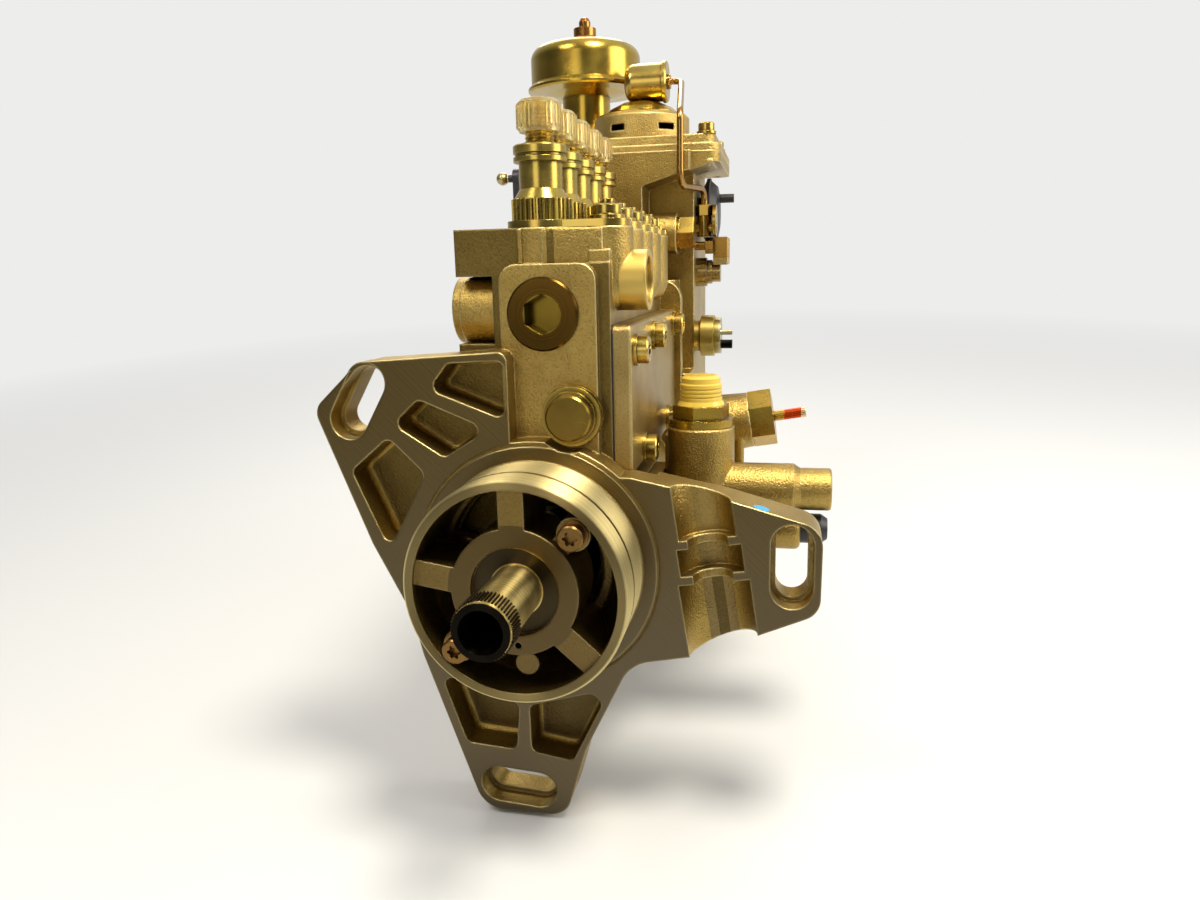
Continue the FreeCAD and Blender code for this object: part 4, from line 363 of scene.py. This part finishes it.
def housingFinish(tree, place, spot, colour, rough, strength, shader):
    # the pilot is turned bright in fine rings; its forward faces get a darker painted shade
    reach = reachFrom(tree, place, (0.0, 0.0, 0.0), (1.0, 0.0, 1.0))
    ahead = below(tree, spot[1], housing["aheadY"])
    front = below(tree, axes(tree, place, "Normal")[1], housing["facing"])
    pilot = times(tree, between(tree, reach, housing["pilotNear"], housing["pilotFar"]), ahead)
    rings = striped(tree, calculated(tree, "ADD", spot[1], reach), housing["line"])
    bright = toned(tree, ranged(tree, rings, *housing["lineRange"]), housing["turnedDark"], housing["turned"])
    # painted shade: the pilot's forward faces are darker
    bright = toned(tree, front, bright, housing["turnedFrontShade"])
    colour = toned(tree, pilot, colour, bright)
    rough = levelled(tree, pilot, rough, housing["turnedRough"])
    strength = levelled(tree, pilot, strength, housing["turnedRelief"])
    lathed(tree, place, shader, (0.0, 0.0, 0.0), (0.0, 1.0, 0.0), times(tree, pilot, housing["drawn"]))
    # the flange's face gets painted shade, greyer and darker towards its lower arms, the casting inside the
    # pilot is darker brown
    lower = times(tree, front, ranged(tree, spot[2], *housing["lowerShadeRange"]))
    colour = toned(tree, times(tree, lower, inverse(tree, pilot)), colour, housing["grey"])
    insideBrown = times(tree, below(tree, reach, housing["pilotNear"]), ahead)
    colour = toned(tree, times(tree, insideBrown, housing["insideBrownShare"]), colour, housing["insideBrown"])
    # the floors of the flange's pockets get painted shade, the inlet's boss is turned
    floorY = housing["pocketFloor"]
    deep = times(tree, front, between(tree, spot[1], floorY, floorY + housing["pocketBand"]))
    colour = toned(tree, times(tree, deep, housing["pocketShare"]), colour, housing["pocketShade"])
    inlet = below(tree, reachFrom(tree, place, housing["inlet"], (0.0, 1.0, 1.0)), housing["inletR"])
    inlet = times(tree, inlet, above(tree, spot[0], housing["inletFrom"]))
    colour = toned(tree, inlet, colour, housing["inletTurned"])
    rough = levelled(tree, inlet, rough, housing["inletRough"])
    strength = levelled(tree, inlet, strength, housing["inletRelief"])
    # a small dab of blue paint sits on the right arm
    dab = below(tree, reachFrom(tree, place, housing["paintPlace"]), housing["paintReach"])
    colour = toned(tree, dab, colour, housing["paint"])
    tree.links.new(inverse(tree, dab), shader.inputs["Metallic"])
    return colour, rough, strength


# Turned and ground steel

turning = {"line": 0.0007, "smear": 0.014, "tintRange": (0.12, 0.40), "relief": 0.12,
           "reliefDepth": 0.0002, "edge": 0.0003, "drawn": 0.7, "domeAxis": (0.0115, 0.222, 0.0)}


def turnedMetal(name, colour, dark, roughness, axis=1, centre=(0.0, 0.0, 0.0), drawn=turning["drawn"],
                finish=None):
    # lathe-turned steel: fine rings round its axis, a little darker in the grooves
    material, tree, shader, place = startMaterial(name, {"Metallic": 1.0, "Roughness": roughness})
    spot = axes(tree, place)
    rings = striped(tree, spot[axis], turning["line"])
    smear = noise(tree, place, turning["smear"])
    tint = toned(tree, ranged(tree, times(tree, rings, smear), *turning["tintRange"]), dark, colour)
    if finish:
        tint = finish(tree, place, spot, tint, shader)
    way = tuple(1.0 if i == axis else 0.0 for i in range(3))
    lathed(tree, place, shader, centre, way, drawn)
    tree.links.new(tint, shader.inputs["Base Color"])
    bumped(tree, shader, rings, turning["relief"], turning["reliefDepth"], softened(tree, turning["edge"]))
    return material


shaft = {"boreR": 0.0083, "endY": -0.0673, "blackEndBoreShade": "17140F",
         "collarNear": 0.0106, "collarFar": 0.0172, "collarY": -0.0265, "collar": "3D3424"}


def shaftFinish(tree, place, spot, tint, shader):
    # the rim of the hollow end is black and the bore is painted black as shade, the collar's face is dull
    reach = reachFrom(tree, place, (0.0, 0.0, 0.0), (1.0, 0.0, 1.0))
    inside = below(tree, reach, shaft["boreR"])
    front = below(tree, spot[1], shaft["endY"])
    collar = times(tree, between(tree, reach, shaft["collarNear"], shaft["collarFar"]),
                   below(tree, spot[1], shaft["collarY"]))
    tint = toned(tree, collar, tint, shaft["collar"])
    return toned(tree, calculated(tree, "MAXIMUM", inside, front), tint, shaft["blackEndBoreShade"])


# Yellow zinc plate

zinc = {"cloud": 0.009, "tintSize": 0.022, "tintDetail": 1.0, "tints": ((0.35, "B4B060"), (0.65, "D3A85E")),
        "tintShare": 0.20, "groove": "2A200A", "grooveReach": 0.0016, "grooveRange": (0.90, 0.50, 0.0, 0.90),
        "roughLow": 0.8, "roughHigh": 1.3, "edge": 0.0003, "wayY": 0.2, "wayZ": 1.0, "lying": 0.75}


def yellowZinc(name, colour, dark, roughness, upright=0.0, finish=None):
    # zinc plate with a yellow passivation: glossy gold with faint green and rose clouds
    material, tree, shader, place = startMaterial(name, {"Metallic": 1.0})
    spot = axes(tree, place)
    cloud = noise(tree, place, zinc["cloud"])
    hue = noise(tree, place, zinc["tintSize"], zinc["tintDetail"])
    tint = addNode(tree, "ShaderNodeValToRGB", {}, {0: hue})
    for element, (position, tone) in zip(tint.color_ramp.elements, zinc["tints"]):
        element.position = position
        element.color = hexColour(tone)
    mixed = toned(tree, zinc["tintShare"], toned(tree, cloud, dark, colour), tint.outputs[0])
    # painted shade: the colour darkens deep in grooves, where shade falls
    groove = ranged(tree, openness(tree, zinc["grooveReach"]), *zinc["grooveRange"])
    mixed = toned(tree, groove, mixed, zinc["groove"])
    rough = ranged(tree, cloud, 0.0, 1.0, roughness * zinc["roughLow"], roughness * zinc["roughHigh"])
    if upright:
        # light drawn out along upright sides only
        way = addNode(tree, "ShaderNodeCombineXYZ", {}, {1: zinc["wayY"], 2: zinc["wayZ"]})
        tree.links.new(way.outputs[0], shader.inputs["Tangent"])
        lying = calculated(tree, "ABSOLUTE", axes(tree, place, "Normal")[2])
        side = below(tree, lying, zinc["lying"])
        tree.links.new(times(tree, side, upright), shader.inputs["Anisotropic"])
    if finish:
        mixed = finish(tree, place, spot, mixed)
    tree.links.new(mixed, shader.inputs["Base Color"])
    tree.links.new(rough, shader.inputs["Roughness"])
    tree.links.new(softened(tree, zinc["edge"]), shader.inputs["Normal"])
    return material


plugs = {"axis": (0.004, 0.0, 0.1014), "upperZ": 0.085, "socketR": 0.0078, "socket": "5C4B10",
         "socketShare": 0.8, "brown": "5C441A", "brownDark": "33240A", "line": 0.000625, "lineDetail": 2.0,
         "faceY": -0.0002, "face": "66501C", "faceShare": 0.7}


def plugFinish(tree, place, spot, mixed):
    # the gallery plug above is browned, with a gold socket; the rack's cap below is darker on its face
    reach = reachFrom(tree, place, plugs["axis"], (1.0, 0.0, 1.0))
    upper = above(tree, spot[2], plugs["upperZ"])
    disc = times(tree, above(tree, reach, plugs["socketR"]), upper)
    rings = striped(tree, reach, plugs["line"], plugs["lineDetail"])
    mixed = toned(tree, disc, mixed, toned(tree, rings, plugs["brownDark"], plugs["brown"]))
    socket = times(tree, upper, below(tree, reach, plugs["socketR"]))
    mixed = toned(tree, times(tree, socket, plugs["socketShare"]), mixed, plugs["socket"])
    face = times(tree, below(tree, spot[1], plugs["faceY"]), inverse(tree, upper))
    return toned(tree, times(tree, face, plugs["faceShare"]), mixed, plugs["face"])


screws = {"innerY": 0.0, "insideBrown": "7B5E34"}


def screwFinish(tree, place, spot, mixed):
    # the two screws are darker brown where they stand inside the pilot
    return toned(tree, below(tree, spot[1], screws["innerY"]), mixed, screws["insideBrown"])


feed = {"sleeveFrom": 0.0985, "sleeveTo": 0.1065, "sleeve": "B4401A", "tip": "D9B98A"}


def feedFinish(tree, place, spot, mixed):
    # the stem of the side unit has an orange sleeve and a pale tip
    sleeve = between(tree, spot[0], feed["sleeveFrom"], feed["sleeveTo"])
    tip = above(tree, spot[0], feed["sleeveTo"])
    return toned(tree, tip, toned(tree, sleeve, mixed, feed["sleeve"]), feed["tip"])


adjuster = {"paleFrom": 0.2515, "paleTo": 0.2565, "pale": "C4B98C", "tipZ": 0.2600, "tip": "A5733A"}


def adjusterFinish(tree, place, spot, mixed):
    # pale washer on the nut of the capsule, copper tip above it
    pale = between(tree, spot[2], adjuster["paleFrom"], adjuster["paleTo"])
    tip = above(tree, spot[2], adjuster["tipZ"])
    return toned(tree, tip, toned(tree, pale, mixed, adjuster["pale"]), adjuster["tip"])


fitting = {"copperFrom": 0.1240, "copperTo": 0.1370, "copper": "8A5A2C", "copperShare": 0.55,
           "greyZ": 0.1235, "grey": "9A937A", "greyShare": 0.4}


def fittingFinish(tree, place, spot, mixed):
    # the bolt of the wall is copper, the angle piece below it grey
    copper = between(tree, spot[2], fitting["copperFrom"], fitting["copperTo"])
    grey = below(tree, spot[2], fitting["greyZ"])
    mixed = toned(tree, times(tree, copper, fitting["copperShare"]), mixed, fitting["copper"])
    return toned(tree, times(tree, grey, fitting["greyShare"]), mixed, fitting["grey"])


switch = {"faceX": 0.0602, "face": "B7AE8C", "prong": (0.0, 0.196, 0.074), "prongR": 0.0028,
          "prongX": 0.0612, "black": "15130F"}


def switchFinish(tree, place, spot, mixed):
    # plated ring with a paler face, one bare prong and one black one
    face = above(tree, spot[0], switch["faceX"])
    near = below(tree, reachFrom(tree, place, switch["prong"], (0.0, 1.0, 1.0)), switch["prongR"])
    dark = times(tree, above(tree, spot[0], switch["prongX"]), near)
    return toned(tree, dark, toned(tree, face, mixed, switch["face"]), switch["black"])


# Plastic, rubber and black oxide

plastic = {"grain": 0.0004, "grainDetail": 2.0, "grainShare": 0.2, "relief": 0.1, "reliefDepth": 0.0002,
           "edge": 0.0003, "index": 1.49}


def dullPlastic(name, colour, roughness, finish=None):
    # moulded plastic or rubber with a faint mould grain
    material, tree, shader, place = startMaterial(
        name, {"Metallic": 0.0, "Roughness": roughness, "IOR": plastic["index"]})
    spot = axes(tree, place)
    grain = noise(tree, place, plastic["grain"], plastic["grainDetail"])
    tint = toned(tree, ranged(tree, grain, 0.0, 1.0, plastic["grainShare"], 0.0), colour, "000000")
    if finish:
        tint = finish(tree, spot, tint, shader)
    tree.links.new(tint, shader.inputs["Base Color"])
    bumped(tree, shader, grain, plastic["relief"], plastic["reliefDepth"], softened(tree, plastic["edge"]))
    return material


caps = {"lowZ": 0.1, "amber": "F0CF55", "clearness": 0.88, "amberClearness": 0.30}


def capFinish(tree, spot, tint, shader):
    # the caps of the outlets are clear, the feed pump's plug is thicker and amber
    low = below(tree, spot[2], caps["lowZ"])
    tree.links.new(levelled(tree, low, caps["clearness"], caps["amberClearness"]),
                   shader.inputs["Transmission Weight"])
    return toned(tree, low, tint, caps["amber"])


lever = {"ballX": -0.0758, "ball": "B5A472"}


def leverFinish(tree, spot, tint, shader):
    # the ball stud is bare steel
    ball = below(tree, spot[0], lever["ballX"])
    tree.links.new(ball, shader.inputs["Metallic"])
    return toned(tree, ball, tint, lever["ball"])


# flange face, hub face, end of the inlet's boss, top of the head
housingFaces = [(1, 0.0, -1.0, 0.0445, 0.2), (1, -0.030, -1.0, 0.0, 0.0262),
                (0, 0.0435, 1.0, 0.0, 0.2), (2, 0.135, 1.0, 0.0, 0.2)]
housingMetal = castAluminium("castAluminiumHousing", housingFaces, finish=housingFinish)
castMetal = castAluminium("castAluminium")
# painted light: the lid gets a lighter copy of the cast aluminium, as if more brightly lit
paintedLightLidMetal = castAluminium("castAluminiumLidPaintedLight", skin="E2C474")
coverMetal = castAluminium("dieCastCover", skin="B8A36C")
shaftSteel = turnedMetal("groundShaftSteel", "E6D088", "96804A", roughness=0.32, drawn=0.9, finish=shaftFinish)
hardSteel = turnedMetal("hardenedSteel", "77746C", "4A4842", roughness=0.35)
domeMetal = turnedMetal("pressedSteelDome", "DDBB4A", "8E742C", roughness=0.26, axis=2,
                        centre=turning["domeAxis"])
zincGold = yellowZinc("yellowZincSteel", "CDB15C", "8C7534", roughness=0.24)
adjusterGold = yellowZinc("yellowZincAdjuster", "CDB15C", "8C7534", roughness=0.24, finish=adjusterFinish)
fittingGold = yellowZinc("yellowZincFittings", "C9AA50", "84692A", roughness=0.26, finish=fittingFinish)
switchGold = yellowZinc("yellowZincSwitch", "C6AE62", "86713A", roughness=0.30, finish=switchFinish)
screwGold = yellowZinc("yellowZincScrews", "CDB15C", "8C7534", roughness=0.26, finish=screwFinish)
feedGold = yellowZinc("yellowZincFeed", "C4A03C", "80661F", roughness=0.26, finish=feedFinish)
holderGold = yellowZinc("yellowZincTurned", "CBB057", "85702F", roughness=0.26, upright=0.6)
plugGold = yellowZinc("yellowZincPlugs", "C0A24C", "7E6526", roughness=0.24, finish=plugFinish)
canGold = yellowZinc("yellowZincCan", "C7A842", "8A7228", roughness=0.24, upright=0.5)
copperMetal = yellowZinc("bronzedPipe", "B0834A", "775128", roughness=0.25)
capPlastic = dullPlastic("ribbedCapPlastic", "F6E195", roughness=0.14, finish=capFinish)
blackRubber = dullPlastic("blackNitrileRubber", "16161A", roughness=0.6)
blackSteel = dullPlastic("blackOxideSteel", "1B1B1C", roughness=0.42)
leverSteel = dullPlastic("blackOxideLever", "1B1B1C", roughness=0.36, finish=leverFinish)
print("materials made")

dress(housingMetal, "pump_housing")
dress(castMetal, "governor_housing", "governor_cover", "feed_pump_body")
dress(paintedLightLidMetal, "governor_lid")
dress(domeMetal, "turret_dome")
dress(coverMetal, "side_cover")
dress(shaftSteel, "camshaft")
dress(zincGold, "element_plate", "element_nuts", "idle_unit")
dress(adjusterGold, "capsule_adjuster")
dress(fittingGold, "fittings")
dress(switchGold, "load_switch")
dress(screwGold, "torx_screws")
dress(feedGold, "feed_pump_fittings")
dress(holderGold, "valve_holders")
dress(plugGold, "front_plugs")
dress(canGold, "capsule_can")
dress(copperMetal, "vacuum_pipe")
dress(capPlastic, "protective_caps")
dress(blackRubber, "seals")
dress(blackSteel, "shutoff_unit", "feed_end_plug")
dress(leverSteel, "throttle_lever")
inner = [name for name in nodes if name.startswith(("tappet_", "plunger_", "control_sleeve_", "flyweight_"))]
dress(hardSteel, "bearing_outer_rings", "bearing_inner_rings", "bearing_retainer", "flanged_barrels",
      "delivery_valves", "valve_springs", "governor_hub", "governor_sleeve", "control_rack", "governor_lever",
      "shutoff_rod", "feed_piston", "feed_spring", *inner)
print("nodes dressed")

# Pieces of the scene's own


def keepPlace(name):
    # name the new primitive and keep its place in its mesh
    piece = bpy.context.object
    piece.name = name
    bpy.ops.object.transform_apply(location=True, rotation=True, scale=True)
    return piece


def startBlock(name, low, high):
    # cube primitive between two corners
    bpy.ops.object.select_all(action="DESELECT")
    centre = [(a + b) / 2 for a, b in zip(low, high)]
    span = [b - a for a, b in zip(low, high)]
    bpy.ops.mesh.primitive_cube_add(size=1.0, location=centre, scale=span)
    return keepPlace(name)


def startBarrel(name, sides, radius, length, centre, turn):
    # cylinder primitive, turned from upright
    bpy.ops.object.select_all(action="DESELECT")
    bpy.ops.mesh.primitive_cylinder_add(vertices=sides, radius=radius, depth=length, location=centre,
                                        rotation=turn)
    return keepPlace(name)


def pickEdges(piece, test):
    # select the edges whose middle passes the test and go to edit mode
    bpy.ops.object.mode_set(mode="EDIT")
    bpy.ops.mesh.select_mode(type="EDGE")
    bpy.ops.mesh.select_all(action="DESELECT")
    bpy.ops.object.mode_set(mode="OBJECT")
    mesh = piece.data
    for edge in mesh.edges:
        ends = [mesh.vertices[i].co for i in edge.vertices]
        edge.select = test((ends[0] + ends[1]) / 2, ends[0] - ends[1])
    bpy.ops.object.mode_set(mode="EDIT")


def finishPiece(piece, material, body):
    bpy.ops.mesh.select_all(action="SELECT")
    bpy.ops.mesh.normals_make_consistent(inside=False)
    bpy.ops.object.mode_set(mode="OBJECT")
    bpy.ops.object.shade_smooth_by_angle(angle=math.radians(crease))
    piece.data.materials.append(material)
    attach(piece, body)


hair = 0.0001  # how near an edge lies to the plane that it is picked by
crease = 35  # degrees; sharper edges stay hard
quarter = math.pi / 2

# Casting between the head's round nose and the first stud column

headWeb = {"nose": (0.0033, 0.01335), "slopeOut": (0.2074, -0.9782), "columnX": 0.027, "rear": 0.027,
           "foot": 0.1195, "top": 0.1348, "frontY": 0.020, "bevel": 0.0008, "steps": 3}


def makeHeadWeb():
    x, y = headWeb["nose"]
    piece = startBlock("headWeb", (x, y, headWeb["foot"]),
                       (headWeb["columnX"], headWeb["rear"], headWeb["top"]))
    bpy.ops.object.mode_set(mode="EDIT")
    bpy.ops.mesh.select_all(action="SELECT")
    bpy.ops.mesh.bisect(plane_co=(x, y, 0.0), plane_no=(*headWeb["slopeOut"], 0.0), use_fill=True,
                        clear_outer=True)
    pickEdges(piece, lambda middle, way: middle.z > headWeb["top"] - hair and middle.y < headWeb["frontY"])
    bpy.ops.mesh.bevel(offset=headWeb["bevel"], segments=headWeb["steps"])
    finishPiece(piece, housingMetal, "pump")


# Casting in front of the return boss, from the lug down

bossWeb = {"sides": 64, "radius": 0.0146, "from": -0.0329, "to": -0.0139, "y": 0.0300, "z": 0.1024,
           "rear": 0.0225}


def makeBossWeb():
    start, end = bossWeb["from"], bossWeb["to"]
    piece = startBarrel("bossWeb", bossWeb["sides"], bossWeb["radius"], end - start,
                        ((start + end) / 2, bossWeb["y"], bossWeb["z"]), (0.0, quarter, 0.0))
    bpy.ops.object.mode_set(mode="EDIT")
    bpy.ops.mesh.select_all(action="SELECT")
    bpy.ops.mesh.bisect(plane_co=(0.0, bossWeb["rear"], 0.0), plane_no=(0.0, 1.0, 0.0), use_fill=True,
                        clear_outer=True)
    finishPiece(piece, housingMetal, "pump")


# Upright ridge at the right end of the lug

lugRidge = {"low": (-0.0066, 0.0128, 0.1215), "high": (-0.0044, 0.0150, 0.1347), "bevel": 0.0009, "steps": 4,
            "upright": 0.001}


def makeLugRidge():
    piece = startBlock("lugRidge", lugRidge["low"], lugRidge["high"])
    front = lugRidge["low"][1]
    pickEdges(piece, lambda middle, way: middle.y < front + hair and abs(way.z) > lugRidge["upright"])
    bpy.ops.mesh.bevel(offset=lugRidge["bevel"], segments=lugRidge["steps"])
    finishPiece(piece, housingMetal, "pump")


# Crescent that thickens the wall round the upper end of the left arm's slot, in the wide front
# part only, and runs out along the slot's outer side

slotRim = {"sides": 96, "centre": (-0.0688, 0.07512), "outer": 0.0088, "inner": 0.0082,
           "shift": (0.00108, -0.00118), "front": 0.00005, "rear": 0.00895, "along": (0.5, 0.866),
           "run": (-0.0054, -0.0061)}


def makeSlotRim():
    x, z = slotRim["centre"]
    front, rear = slotRim["front"], slotRim["rear"]
    # the cutter stands out past both ends
    cutter = startBarrel("rimCutter", slotRim["sides"], slotRim["inner"], 3 * rear,
                         (x + slotRim["shift"][0], rear / 2, z + slotRim["shift"][1]), (quarter, 0.0, 0.0))
    piece = startBarrel("slotRim", slotRim["sides"], slotRim["outer"], rear - front,
                        (x, (front + rear) / 2, z), (quarter, 0.0, 0.0))
    cut = piece.modifiers.new("rimCut", "BOOLEAN")
    cut.operation = "DIFFERENCE"
    cut.object = cutter
    bpy.ops.object.modifier_apply(modifier="rimCut")
    bpy.data.objects.remove(cutter)
    bpy.ops.object.mode_set(mode="EDIT")
    bpy.ops.mesh.select_mode(type="FACE")
    bpy.ops.mesh.select_all(action="SELECT")
    bpy.ops.mesh.bisect(plane_co=(x, 0.0, z), plane_no=(slotRim["along"][0], 0.0, slotRim["along"][1]),
                        use_fill=True, clear_inner=True)
    run = (slotRim["run"][0], 0.0, slotRim["run"][1])
    bpy.ops.mesh.extrude_region_move(TRANSFORM_OT_translate={"value": run})
    finishPiece(piece, housingMetal, "pump")


makeHeadWeb()
makeBossWeb()
makeLugRidge()
makeSlotRim()
print("cast webs made")

# Plunger springs: round wire wound between the ledge above and the seat on the tappet below

springs = {"count": 5, "wire": 0.0012, "sides": 12, "turns": 4.5, "steps": 32, "travel": 0.007}


def makeSpring(number):
    low, high = (Vector(corner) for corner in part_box(f"plunger_spring_{number}"))
    middle = (low + high) / 2
    length = high.z - low.z
    wire = springs["wire"]
    bpy.ops.object.select_all(action="DESELECT")
    bpy.ops.mesh.primitive_circle_add(vertices=springs["sides"], radius=wire,
                                      location=((high.x - low.x) / 2 - wire, 0.0, 0.0),
                                      rotation=(quarter, 0.0, 0.0))
    piece = keepPlace(f"plungerSpring{number}")
    coil = piece.modifiers.new("coil", "SCREW")
    coil.angle = 2 * math.pi * springs["turns"]
    coil.screw_offset = length - 2 * wire
    coil.steps = coil.render_steps = round(springs["steps"] * springs["turns"])
    bpy.ops.object.modifier_apply(modifier="coil")
    bpy.ops.object.mode_set(mode="EDIT")
    bpy.ops.mesh.select_all(action="SELECT")
    bpy.ops.mesh.fill_holes(sides=0)
    bpy.ops.mesh.select_all(action="SELECT")
    bpy.ops.transform.translate(value=(middle.x, middle.y, low.z + wire))
    finishPiece(piece, hardSteel, "pump")
    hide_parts(f"plunger_spring_{number}")
    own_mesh(piece)


for number in range(1, springs["count"] + 1):
    makeSpring(number)
print("springs made")
